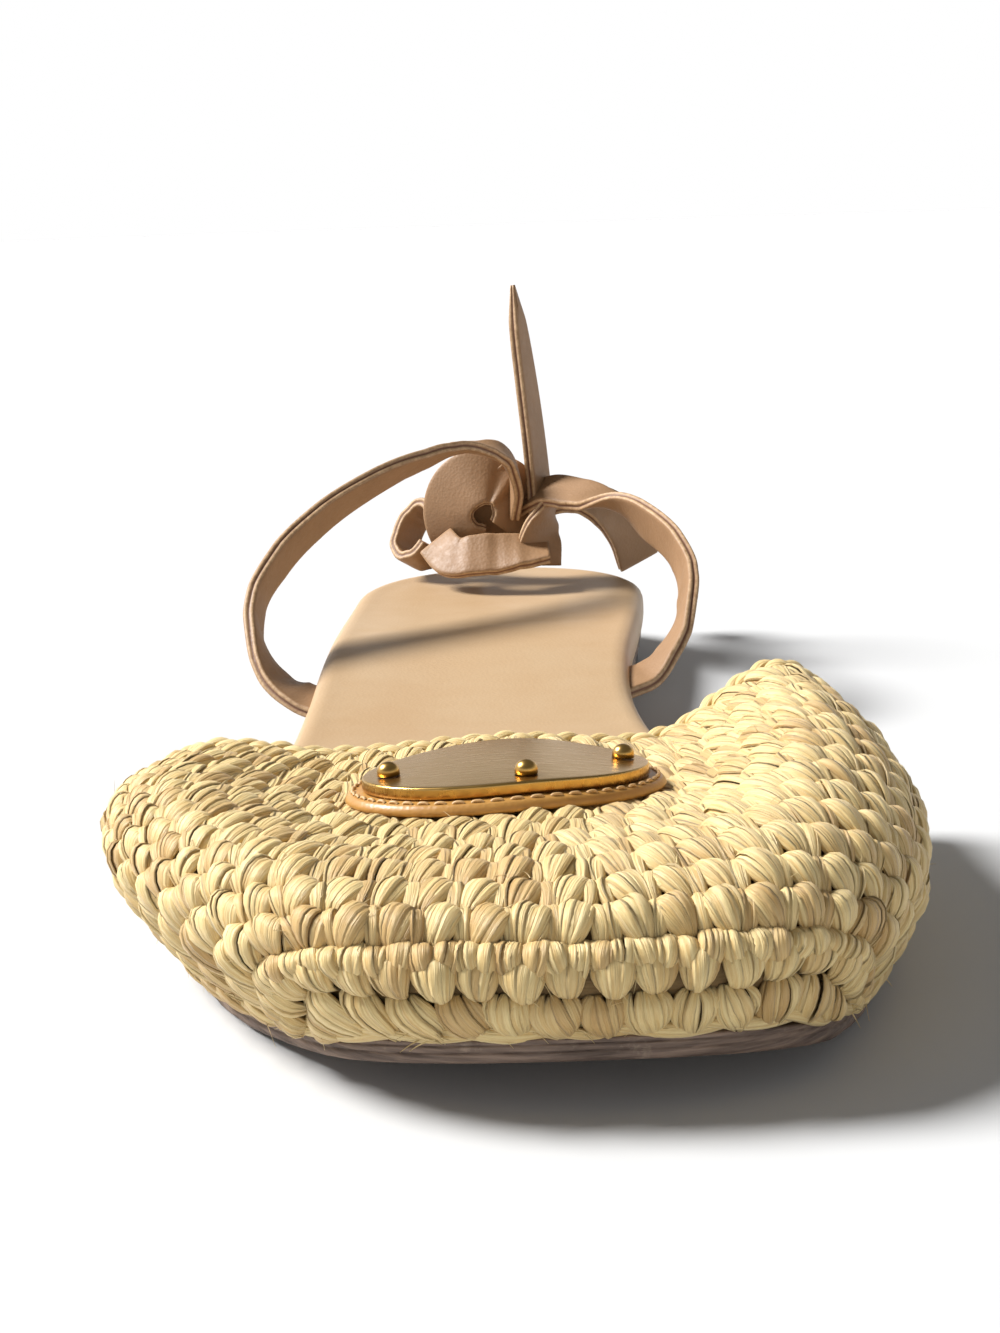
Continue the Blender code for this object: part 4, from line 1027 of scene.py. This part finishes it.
def stray_fibres(strands, rng, share_of_all):
    """Loose fibre ends that stand or lie off the crochet."""
    t = np.linspace(0, 1, 7)[:, None]
    for zone in STRAY_ZONES:
        for _ in range(round(zone.count * share_of_all)):
            share = np.array(rng.uniform(zone.share_low, zone.share_high))
            place = np.array(rng.uniform(zone.place_low, zone.place_high))
            root = on_vamp(share, place, rng.uniform(0.6, 1.5))
            out = vamp_out(share, place)
            row_way = unit(by_place(share, place, 0.004))
            cross_way = np.cross(out, row_way)
            turn = rng.normal(0, 1.0 - zone.along_row) * pi + (pi if rng.uniform() < 0.5 else 0.0)
            start = unit(cos(turn) * row_way + sin(turn) * cross_way + rng.uniform(0.05, 0.5) * out)
            bend = unit(rng.normal(size=3)) * 0.5 - np.array([0, 0, 0.35])
            length = zone.length * rng.uniform(0.5, 1.2)
            path = root + length * (start * t + bend * t * t * 0.5)
            path[:, 2] = np.maximum(path[:, 2], sole_bottom(path[:, 1]) + GAP)
            taper = zone.thick * (1 - 0.75 * t[:, 0])
            rings = tube(path, out, taper * 1.3, taper * 0.7, 4)
            strands.strand(rings, rng.uniform(0, 0.5), rng.uniform(0, STRAND_NUMBERS), 0.95)


def vamp_wall():
    """The wall behind the stitches and its inner face, where the rows show as low bars."""
    shares = np.linspace(0, 1, WALL_GRID[0])[:, None]
    places = np.linspace(0, 1, WALL_GRID[1])[None]
    bars = BAR_RISE * np.abs(np.sin(pi * shares * VAMP_ROWS))
    bars = bars * (0.75 + 0.25 * np.cos(2 * pi * places * BAR_COUNT))
    outer = on_vamp(shares, places, np.full(WALL_GRID, -WALL_SINK))
    inner = on_vamp(shares, places, bars - VAMP_WALL)
    for skin in (outer, inner):
        skin[:, [0, -1], 2] = on_sole(skin[:, [0, -1], 1])
        skin[0, :, 2] = on_sole(skin[0, :, 1])
    points = np.concatenate([outer.reshape(-1, 3), inner.reshape(-1, 3)])
    out, back = np.arange(len(points)).reshape(2, *WALL_GRID)
    faces = []
    for skin, way in ((out, 1), (back, -1)):
        quads = np.stack([skin[:-1, :-1], skin[:-1, 1:], skin[1:, 1:], skin[1:, :-1]], axis=-1)
        faces.append(quads.reshape(-1, 4)[:, ::way])
    rims = ((out[0], back[0]), (back[-1], out[-1]), (back[:, 0], out[:, 0]), (out[:, -1], back[:, -1]))
    for first, second in rims:
        faces.append(np.stack([second[:-1], second[1:], first[1:], first[:-1]], axis=-1))
    fibre = np.zeros((len(points), 3))
    fibre[:, 0] = np.broadcast_to(places * WALL_LONG, (2, *WALL_GRID)).ravel()
    fibre[:, 1] = np.broadcast_to(shares * WALL_WIDE, (2, *WALL_GRID)).ravel()
    # Painted shade: the outer face takes mostly the hole colour, the inner face a little of it.
    depth = np.repeat([WALL_OUTER, WALL_INNER], out.size)
    return points, np.concatenate(faces).tolist(), fibre, depth


# Ankle ties

def tie_section(half):
    """A tie's cross-section as (width, thickness) points, with how raw and how far in the seam each is."""
    deep = TIE_THICK / 2
    quarter = [
        (half - 0.30, 0.0, 0.2, 1.0), (half - 0.07, 0.25 * deep, 0.9, 0.35), (half, 0.55 * deep, 1.0, 0.0),
        (half - 0.08, 0.85 * deep, 0.75, 0.0), (half - 0.35, deep, 0.25, 0.0),
        (half - 0.9, 1.03 * deep, 0.0, 0.0),
        (half * 0.55, deep * 1.05, 0.0, 0.0), (half * 0.2, deep * 1.05, 0.0, 0.0),
    ]
    upper = quarter + [(-w, t, raw, seam) for w, t, raw, seam in quarter[::-1]]
    lower = [(-w, -t, raw, seam) for w, t, raw, seam in upper[1:-1]]
    return np.array(upper + lower)


def evened(path, reach):
    """A path evened over its neighbouring points, with its ends where they were."""
    padded = np.concatenate([2 * path[0] - path[reach:0:-1], path, 2 * path[-1] - path[-2:-reach - 2:-1]])
    weights = np.hanning(2 * reach + 3)[1:-1]
    weights = weights / weights.sum()
    return np.stack([np.convolve(column, weights, "valid") for column in padded.T], axis=1)


def tie_strip(name, table):
    """Rings of one tie strip with its creases, and each ring point's raw and seam values."""
    table = np.array(table, float)
    middle = table[:, :3]
    knots = run_of(middle)
    count = max(8, round(knots[-1] / TIE_STEP)) + 1
    at = np.linspace(0, knots[-1], count)
    path = evened(smooth(knots, middle, at), TIE_EASE)
    spread = smooth(knots, table[:, 3:], at)
    width_way, share = spread[:, :3], spread[:, 3]
    ahead = smooth(knots, middle, np.minimum(at + TIE_PROBE, knots[-1]))
    heading = unit(ahead - smooth(knots, middle, np.maximum(at - TIE_PROBE, 0)))
    square = ease(share, TIE_SLANT, TIE_SQUARE)[:, None]
    wide = unit(width_way - heading * np.sum(width_way * heading, axis=1)[:, None] * square)
    thick = unit(np.cross(heading, wide))
    for crease in TIE_CREASES.get(name, ()):
        path = path + thick * (crease.depth * np.exp(-((at - crease.run) / crease.width) ** 2))[:, None]
    rings, raw, seam = [], [], []
    for k in range(count):
        half = TIE_WIDTH / 2 * share[k]
        section = tie_section(max(half, 1.0))
        squeeze, pared = min(1.0, half), min(1.0, 0.3 + 1.2 * share[k])
        rings.append(path[k] + wide[k] * section[:, :1] * squeeze + thick[k] * section[:, 1:2] * pared)
        raw.append(section[:, 2])
        seam.append(section[:, 3])
    return np.array(rings), np.array(raw), np.array(seam)


def wrap_table():
    """The wrap round the knot's middle, whose turn leans back as a cone."""
    table = []
    for turn in np.linspace(0, KNOT_TURNS, WRAP_POINTS):
        angle = 2 * pi * (KNOT_START + turn)
        reach = KNOT_RADIUS - WRAP_DRAW + KNOT_GROWTH * turn
        x, height = cos(angle), sin(angle)
        table.append(TiePoint(
            KNOT_X + reach * x, KNOT_BACK + KNOT_RUN * turn, KNOT_HEIGHT + reach * height,
            x, KNOT_CONE, height, WRAP_SHARE + WRAP_WANDER * sin(WRAP_WAVES * turn),
        ))
    return table


def side_loop_table():
    """The loop beside the knot, its mouth to the front, open a little where the tie enters the knot."""
    axis = unit(np.array(LOOP_AXIS))
    tall = unit(np.array([0, 0, 1]) - axis * axis[2])
    narrow = np.cross(axis, tall)
    table = []
    for share in np.linspace(LOOP_OPEN, 1 - LOOP_OPEN, LOOP_POINTS):
        angle = pi + 2 * pi * share
        x, back, height = LOOP_NARROW * cos(angle) * narrow + LOOP_TALL * sin(angle) * tall
        table.append(TiePoint(LOOP_X + x, LOOP_BACK + back, LOOP_HEIGHT + height, *axis, LOOP_SHARE))
    return table


# Plate, backing and rivets

def plate_levels():
    """Heights above the wall of the backing's and plate's faces."""
    backing_low = STITCH_RISE + GAP
    plate_low = backing_low + BACKING_THICK + PLATE_SEAT
    return backing_low, backing_low + BACKING_THICK, plate_low, plate_low + PLATE_THICK


def on_plate(across, rearward):
    """Plan positions of points of the plate, from their distances along the plate's own two axes."""
    x = PLATE_X + across * cos(PLATE_TURN) - rearward * sin(PLATE_TURN)
    return x, PLATE_BACK + across * sin(PLATE_TURN) + rearward * cos(PLATE_TURN)


def oval_dome(half_width, half_length, profile, spokes=96):
    """Points and faces of an oval that follows the vamp. The profile is (drawn in, height above the wall)."""
    turns = round_turn(spokes)
    rings = []
    for inset, lift in profile:
        size = max(1 - inset / half_width, 0.0)
        place = on_plate(half_width * size * np.cos(turns), half_length * size * np.sin(turns))
        rings.append(on_vamp(*vamp_place(*place), np.full(spokes, lift)))
    return np.concatenate(rings), tube_faces(len(rings), spokes).tolist()


def rivet_head(across, rearward):
    """Points and faces of a domed rivet head on the plate."""
    share, place = vamp_place(*on_plate(np.array(across), np.array(rearward)))
    out = vamp_out(share, place)
    across = unit(np.cross(out, (0, 1, 0)))
    along_foot = np.cross(out, across)
    base = on_vamp(share, place, plate_levels()[3])
    turns = round_turn(32)
    rings = []
    for turn in [0.0, *np.linspace(0, 0.499 * pi, 10)]:
        lift = PLATE_SEAT + RIVET_RISE * sin(turn) if turn > 0 else RIVET_FOOT
        ring = np.cos(turns)[:, None] * across + np.sin(turns)[:, None] * along_foot
        rings.append(base + out * lift + RIVET_RADIUS * cos(turn) * ring)
    return np.concatenate(rings), tube_faces(len(rings), len(turns))[:, ::-1].tolist()


# Settings

def colour(name, description, code):
    """A colour setting, from its sRGB hex value."""
    return FloatVectorProperty(name=name, description=description, default=linear(code), subtype="COLOR")


def number(name, description, default, **more):
    """A setting that is one number, with its limits, unit and subtype."""
    return FloatProperty(name=name, description=description, default=default, **more)


LENGTH = {"unit": "LENGTH", "subtype": "DISTANCE"}


class SandalRaffia(bpy.types.PropertyGroup):
    """Sizes and colours of the crocheted raffia."""

    crest: number(
        "Stitch crest", "How far a stitch stands out of the wall, in millimetres", 1.6, min=0.5, max=2.5,
    )
    fibre_width: number(
        "Fibre width", "Width of one fibre streak, drawn coarser than raffia's own to show", 0.00032,
        min=0.0001, precision=5, **LENGTH,
    )
    stray_share: number(
        "Stray fibres", "Share of the loose fibres that is drawn", 1.0, min=0.0, max=2.0, subtype="FACTOR",
    )
    seed: IntProperty(name="Seed", description="Which of many like crochets is made", default=7, min=0)
    pale: colour("Pale fibre", "Raffia's palest streaks", "E9D297")
    straw: colour("Straw", "Raffia's middle colour", "D4B272")
    aged: colour("Aged straw", "Raffia's darker, browner bundles", "B0864B")
    # Painted shade: the colour that the raffia and the wall's outer face are mixed to where they lie deep in
    # the holes.
    hollow: colour("Hollow", "Colour down in the holes", "48341A")


class SandalLeather(bpy.types.PropertyGroup):
    """Sizes and colours of the footbed, ties and backing."""

    grain: number(
        "Grain", "Size of one pore cell, drawn coarser than calf's own to show", 0.0006,
        min=0.0001, precision=5, **LENGTH,
    )
    tan: colour("Footbed tan", "The footbed's main colour", "BA9E7B")
    warm: colour("Footbed mottle", "The footbed's warmer clouds", "B3946F")
    tie: colour("Tie", "The ties' main colour", "A17C58")
    tie_dark: colour("Tie mottle", "The ties' darker clouds", "80603F")
    raw_edge: colour("Raw edge", "Pale cut edge of the ties", "C6A57E")
    glue_line: colour("Glue line", "Dark line between the ties' two layers", "6B4630")
    patch: colour("Backing", "The plate's leather backing", "BF914D")
    patch_dark: colour("Backing shade", "The backing's burnished tone", "A27135")


class SandalSole(bpy.types.PropertyGroup):
    """Colours of the outsole and heel."""

    sole: colour("Sole edge", "Stained sole leather", "8A7566")
    sole_dark: colour("Sole layers", "Darker layers of the cut edge", "4E3F36")
    scuff: colour("Scuffs", "Rubbed, paler places", "AD9A88")
    heel: colour("Heel", "Heel rubber", "3A322C")


class SandalMetal(bpy.types.PropertyGroup):
    """Finish of the plate and rivets."""

    gilt: colour("Gilt", "The gilding's colour", "C09A58")
    polish: number(
        "Polish", "Roughness of the gilding; less is shinier", 0.28, min=0.05, max=1.0, subtype="FACTOR",
    )


class SandalStage(bpy.types.PropertyGroup):
    """Floor, lights and camera."""

    paper: colour("Floor", "The pale floor's colour", "C9C9C9")
    floor_radius: number("Floor radius", "How far the floor reaches", 6.0, **LENGTH)
    horizon: number("Backdrop", "Brightness of the room at eye level", 1.0, min=0.0)
    zenith: number("Ceiling", "Brightness of the room overhead", 0.16, min=0.0)
    key: number("Key light", "Strength of the soft light from above the little-toe side", 6.8, min=0.0)
    key_spread: number(
        "Key spread", "How wide the key light looks from the shoe", radians(20),
        unit="ROTATION", subtype="ANGLE",
    )
    key_from: FloatVectorProperty(
        name="Key side", description="The way from the shoe to the key light", default=(-0.70, 0.2, 0.69),
        subtype="DIRECTION",
    )
    eye: FloatVectorProperty(
        name="Camera", description="Where the camera stands", default=(-0.0030, -0.2725, 0.0919),
        subtype="TRANSLATION", unit="LENGTH",
    )
    turn: FloatVectorProperty(
        name="Camera turn", description="Yaw to the big-toe side, pitch down and roll", size=3,
        default=(radians(0.12), radians(12.5), radians(1.92)), subtype="EULER", unit="ROTATION",
    )
    lens: number("Lens", "Focal length on a 36 mm sensor", 57.8, unit="CAMERA")


# Operators

class SANDAL_OT_sole(bpy.types.Operator):
    """Cut the outsole and the heel lift"""

    bl_idname = "sandal.sole"
    bl_label = "Cut the sole and heel"

    def execute(self, context):
        rng = np.random.default_rng(SOLE_SEED)
        turns = round_turn(SOLE_SPOKES)

        def ragged():
            waves = rng.integers(RAGGED_LEAST, RAGGED_MOST, RAGGED_WAVES)
            phases = rng.uniform(0, 2 * pi, RAGGED_WAVES)
            return sum(np.sin(w * turns + p) for w, p in zip(waves, phases)) * RAGGED_DEEP

        def seat(back):
            return np.full_like(back, HEEL_LIFT_HEIGHT)

        loop = outline(sole_edges, 0.0, SOLE_LENGTH, SOLE_SPOKES)
        points, faces = slab(loop, OUTSOLE_EDGE, sole_bottom, sole_top, SOLE_SPINE, wander=ragged)
        new_piece("sole", points, faces, cut_sole_leather(), ["outsole"], "sole_leather")
        loop = outline(heel_edges, HEEL_BREAST, SOLE_LENGTH - HEEL_INSET, HEEL_SPOKES)
        points, faces = slab(loop, HEEL_EDGE, np.zeros_like, seat, HEEL_SPINE)
        new_piece("heel", points, faces, heel_rubber(), ["heel_lift"], "heel_rubber")
        return {"FINISHED"}


class SANDAL_OT_footbed(bpy.types.Operator):
    """Wrap the footbed in leather"""

    bl_idname = "sandal.footbed"
    bl_label = "Wrap the footbed"

    def execute(self, context):
        loop = outline(insole_edges, INSOLE_TOE, SOLE_LENGTH + INSOLE_OVERHANG, SOLE_SPOKES)
        points, faces = slab(loop, INSOLE_EDGE, on_sole, insole_top, SOLE_SPINE, relief=footbed_relief)
        new_piece("footbed", points, faces, footbed_leather(), ["insole"], "tan_leather")
        return {"FINISHED"}


class SANDAL_OT_vamp(bpy.types.Operator):
    """Crochet the vamp: its wall, its rows of stitches, the edge strand and the stray fibres"""

    bl_idname = "sandal.vamp"
    bl_label = "Crochet the vamp"

    def execute(self, context):
        look = context.scene.sandal_raffia
        rng = np.random.default_rng(look.seed)
        points, faces, fibre, depth = vamp_wall()
        new_piece("vamp_wall", points, faces, raffia_backing(), ["vamp"], "straw", fibre=fibre, depth=depth)
        toe = Sweeps()
        edge_strand(toe, rng)
        crochet_row(toe, 0, EDGE_BUNDLE, rng, look.crest)
        for way in (-1, 1):
            crochet_row(toe, 1, TOOTH_LEG, rng, look.crest, way)
        crochet_row(toe, 1, TOOTH_CAP, rng, look.crest)
        toe.piece("vamp_toe_rows", crocheted_raffia(), ["vamp"], "straw")
        middle = VAMP_ROWS // 2 + 1
        parts = {"vamp_front_rows": range(2, middle), "vamp_throat_rows": range(middle, VAMP_ROWS)}
        for name, part in parts.items():
            strands = Sweeps()
            for row in part:
                turn_at = EAR_TURN + rng.uniform(-EAR_WANDER, EAR_WANDER)
                for bundle in (EAR_NARROW, EAR_BROAD):
                    crochet_row(strands, row, bundle, rng, look.crest, turn_at=turn_at)
            strands.piece(name, crocheted_raffia(), ["vamp"], "straw")
        strays = Sweeps()
        stray_fibres(strays, rng, look.stray_share)
        strays.piece("vamp_stray_fibres", crocheted_raffia(), ["vamp"], "straw")
        return {"FINISHED"}


class SANDAL_OT_braid(bpy.types.Operator):
    """Plait the raffia chain along the throat"""

    bl_idname = "sandal.braid"
    bl_label = "Plait the throat chain"

    def execute(self, context):
        rng = np.random.default_rng(context.scene.sandal_raffia.seed + 1)
        places = np.linspace(BRAID_START, 1 - BRAID_START, BRAID_RINGS)
        rim = np.ones_like(places)
        edge = on_vamp(rim, places)
        out = vamp_out(rim, places)
        rearward = edge - on_vamp(rim * 0.97, places)
        rearward = unit(rearward - out * np.sum(rearward * out, axis=1)[:, None])
        middle = edge + out * BRAID_LIFT + rearward * (BRAID_RADIUS + BRAID_SWELL + GAP - BRAID_TUCK)
        run = run_of(middle)
        strands = Sweeps()
        for ply in range(BRAID_PLIES):
            turn = 2 * pi * (run / (BRAID_PLIES * BRAID_PITCH) + ply / BRAID_PLIES)
            path = middle + rearward * (BRAID_SWING * np.sin(turn))[:, None]
            path = path + out * (BRAID_HOP * np.sin(2 * turn))[:, None]
            swell = 1 + 0.1 * np.sin(run * 1.3 + 2 * ply)
            rings = tube(path, out, PLY_HALF * swell, PLY_DEEP * swell, PLY_SPOKES)
            # Painted shade: a ply's colour is darker where it dips under the others.
            depth = np.clip(0.55 + 0.45 * np.sin(2 * turn), 0.3, 1)[:, None]
            strands.strand(rings, rng.uniform(0.1, 0.6), rng.uniform(0, STRAND_NUMBERS), depth)
        strands.piece("throat_chain", crocheted_raffia(), ["throat_braid"], "straw")
        return {"FINISHED"}


class SANDAL_OT_plate(bpy.types.Operator):
    """Fit the gilt plate, its stitched leather backing and its rivets"""

    bl_idname = "sandal.plate"
    bl_label = "Fit the plate"

    def execute(self, context):
        backing_low, backing_high, plate_low, plate_high = plate_levels()
        wide, long = PLATE_HALF_WIDTH + BACKING_BORDER, PLATE_HALF_LENGTH + BACKING_BORDER
        patch = [
            (3.0, backing_low - SEAT_SINK), (0.3, backing_low - SEAT_SINK), (0.0, backing_low),
            (0.1, backing_low + 0.35), (0.4, backing_high - 0.25), (0.9, backing_high - 0.05),
            (1.5, backing_high), (3.0, backing_high), (wide - 0.5, backing_high),
        ]
        points, faces = oval_dome(wide, long, patch)
        new_piece("plate_patch", points, faces, backing_leather(), ["plate_backing"], "tan_leather")
        lip = plate_high - PLATE_LIP
        dome = [(2.0, plate_low - SEAT_SINK), (0.1, plate_low - SEAT_SINK), (0.0, plate_low), (0.0, lip)]
        for t in np.linspace(0.2, 1.5, 5):
            dome.append((PLATE_ROUND - PLATE_ROUND * cos(t), lip + PLATE_ROUND * sin(t)))
        for inset in PLATE_RINGS:
            crown = PLATE_CROWN * (1 - (1 - inset / PLATE_HALF_WIDTH) ** 2)
            dome.append((inset, lip + PLATE_ROUND + crown))
        points, faces = oval_dome(PLATE_HALF_WIDTH, PLATE_HALF_LENGTH, dome)
        new_piece("plate_face", points, faces, gilt_brass(), ["plate"], "gilt_metal")
        reach = PLATE_HALF_WIDTH - RIVET_INSET
        rivets = {
            "rivet_lateral": (-reach, 0.0), "rivet_medial": (reach, 0.0),
            "rivet_front": (0.0, RIVET_INSET - PLATE_HALF_LENGTH),
        }
        for name, place in rivets.items():
            points, faces = rivet_head(*place)
            new_piece(name + "_head", points, faces, gilt_brass(), [name], "gilt_metal")
        thread = Sweeps()
        rise = backing_high + THREAD_RISE - THREAD_DIP * np.linspace(-1, 1, THREAD_RINGS) ** 4
        for turn in round_turn(THREAD_STITCHES):
            at = turn + np.linspace(-THREAD_REACH, THREAD_REACH, THREAD_RINGS)
            plan = on_plate((wide - THREAD_INSET) * np.cos(at), (long - THREAD_INSET) * np.sin(at))
            place = vamp_place(*plan)
            path = on_vamp(*place, rise)
            thread.gather(tube(path, vamp_out(*place), THREAD_HALF, THREAD_DEEP, THREAD_SPOKES))
        thread.piece("plate_thread", waxed_thread(), ["plate_backing"], "straw")
        return {"FINISHED"}


class SANDAL_OT_ties(bpy.types.Operator):
    """Cut and knot the two leather ankle ties"""

    bl_idname = "sandal.ties"
    bl_label = "Knot the ankle ties"

    def execute(self, context):
        strips = {
            "lateral": LATERAL_TIE, "medial": MEDIAL_TIE, "loop": side_loop_table(), "core": KNOT_CORE,
            "wrap": wrap_table(), "fold": FRONT_FOLD, "band": KNOT_BAND, "standing": STANDING_END,
            "hanging": HANGING_END,
        }
        ties = Sweeps()
        for name, table in strips.items():
            rings, raw, seam = tie_strip(name, table)
            ties.gather(rings, capped=True, raw=raw, seam=seam)
        ties.piece("ties", tie_leather(), ["ankle_ties"], "tan_leather")
        return {"FINISHED"}


class SANDAL_OT_stage(bpy.types.Operator):
    """Lay the pale floor, and set the lights and the camera"""

    bl_idname = "sandal.stage"
    bl_label = "Set the stage"

    def execute(self, context):
        scene = context.scene
        look = scene.sandal_stage
        disc = [(look.floor_radius * cos(t), look.floor_radius * sin(t), 0.0) for t in round_turn(64)]
        mesh = bpy.data.meshes.new("floor")
        mesh.from_pydata(disc, [], [list(range(len(disc)))])
        mesh.materials.append(studio_paper())
        floor = bpy.data.objects.new("floor", mesh)
        scene.collection.objects.link(floor)

        world = bpy.data.worlds.new("studio")
        world.use_nodes = True
        tree = world.node_tree
        tree.nodes.clear()
        place = add(tree, "TexCoord", output="Generated")
        height = add(tree, "SeparateXYZ", {"Vector": place}, output="Z")
        glow = add(tree, "MapRange", {
            "Value": height, "From Min": 0.15, "From Max": 0.5, "To Min": look.horizon, "To Max": look.zenith,
        }, interpolation_type="SMOOTHSTEP")
        room = add(tree, "Background", {"Color": (1, 1, 1, 1), "Strength": glow})
        add(tree, "OutputWorld", {"Surface": room})
        scene.world = world

        lamp = bpy.data.lights.new("key", "SUN")
        lamp.energy = look.key
        lamp.angle = look.key_spread
        stand = bpy.data.objects.new("key", lamp)
        stand.rotation_euler = Vector(look.key_from).to_track_quat("Z", "Y").to_euler()
        scene.collection.objects.link(stand)
        scene.view_settings.view_transform = "Standard"

        yaw, pitch, roll = look.turn
        forward = Vector((sin(yaw) * cos(pitch), cos(yaw) * cos(pitch), -sin(pitch)))
        level = Vector((cos(yaw), -sin(yaw), 0))
        right = level * cos(roll) + forward.cross(level) * sin(roll)
        facing = Matrix((right, right.cross(forward), -forward)).transposed()
        lens = bpy.data.cameras.new("camera")
        lens.lens = look.lens
        lens.sensor_width = 36
        lens.clip_start = 0.01
        camera = bpy.data.objects.new("camera", lens)
        camera.matrix_world = Matrix.Translation(look.eye) @ facing.to_4x4()
        scene.collection.objects.link(camera)
        scene.camera = camera
        return {"FINISHED"}


class SANDAL_PT_panel(bpy.types.Panel):
    """Lists the sandal's pieces and settings"""

    bl_idname = "SANDAL_PT_panel"
    bl_label = "Raffia sandal"
    bl_space_type = "VIEW_3D"
    bl_region_type = "UI"
    bl_category = "Sandal"

    def draw(self, context):
        for operator in OPERATORS:
            self.layout.operator(operator.bl_idname)
        for name, group in SETTINGS.items():
            box = self.layout.box()
            for key in group.__annotations__:
                box.prop(getattr(context.scene, name), key)


SETTINGS = {
    "sandal_raffia": SandalRaffia,
    "sandal_leather": SandalLeather,
    "sandal_sole": SandalSole,
    "sandal_metal": SandalMetal,
    "sandal_stage": SandalStage,
}
OPERATORS = (
    SANDAL_OT_sole, SANDAL_OT_footbed, SANDAL_OT_vamp, SANDAL_OT_braid, SANDAL_OT_plate, SANDAL_OT_ties,
    SANDAL_OT_stage,
)


def register():
    for cls in (*SETTINGS.values(), *OPERATORS, SANDAL_PT_panel):
        bpy.utils.register_class(cls)
    for name, group in SETTINGS.items():
        setattr(bpy.types.Scene, name, PointerProperty(type=group))


def unregister():
    for name in SETTINGS:
        delattr(bpy.types.Scene, name)
    for cls in (SANDAL_PT_panel, *reversed(OPERATORS), *reversed(SETTINGS.values())):
        bpy.utils.unregister_class(cls)


def main():
    register()
    bpy.ops.sandal.sole()
    bpy.ops.sandal.footbed()
    bpy.ops.sandal.vamp()
    bpy.ops.sandal.braid()
    bpy.ops.sandal.plate()
    bpy.ops.sandal.ties()
    bpy.ops.sandal.stage()


if __name__ == "__main__":
    main()
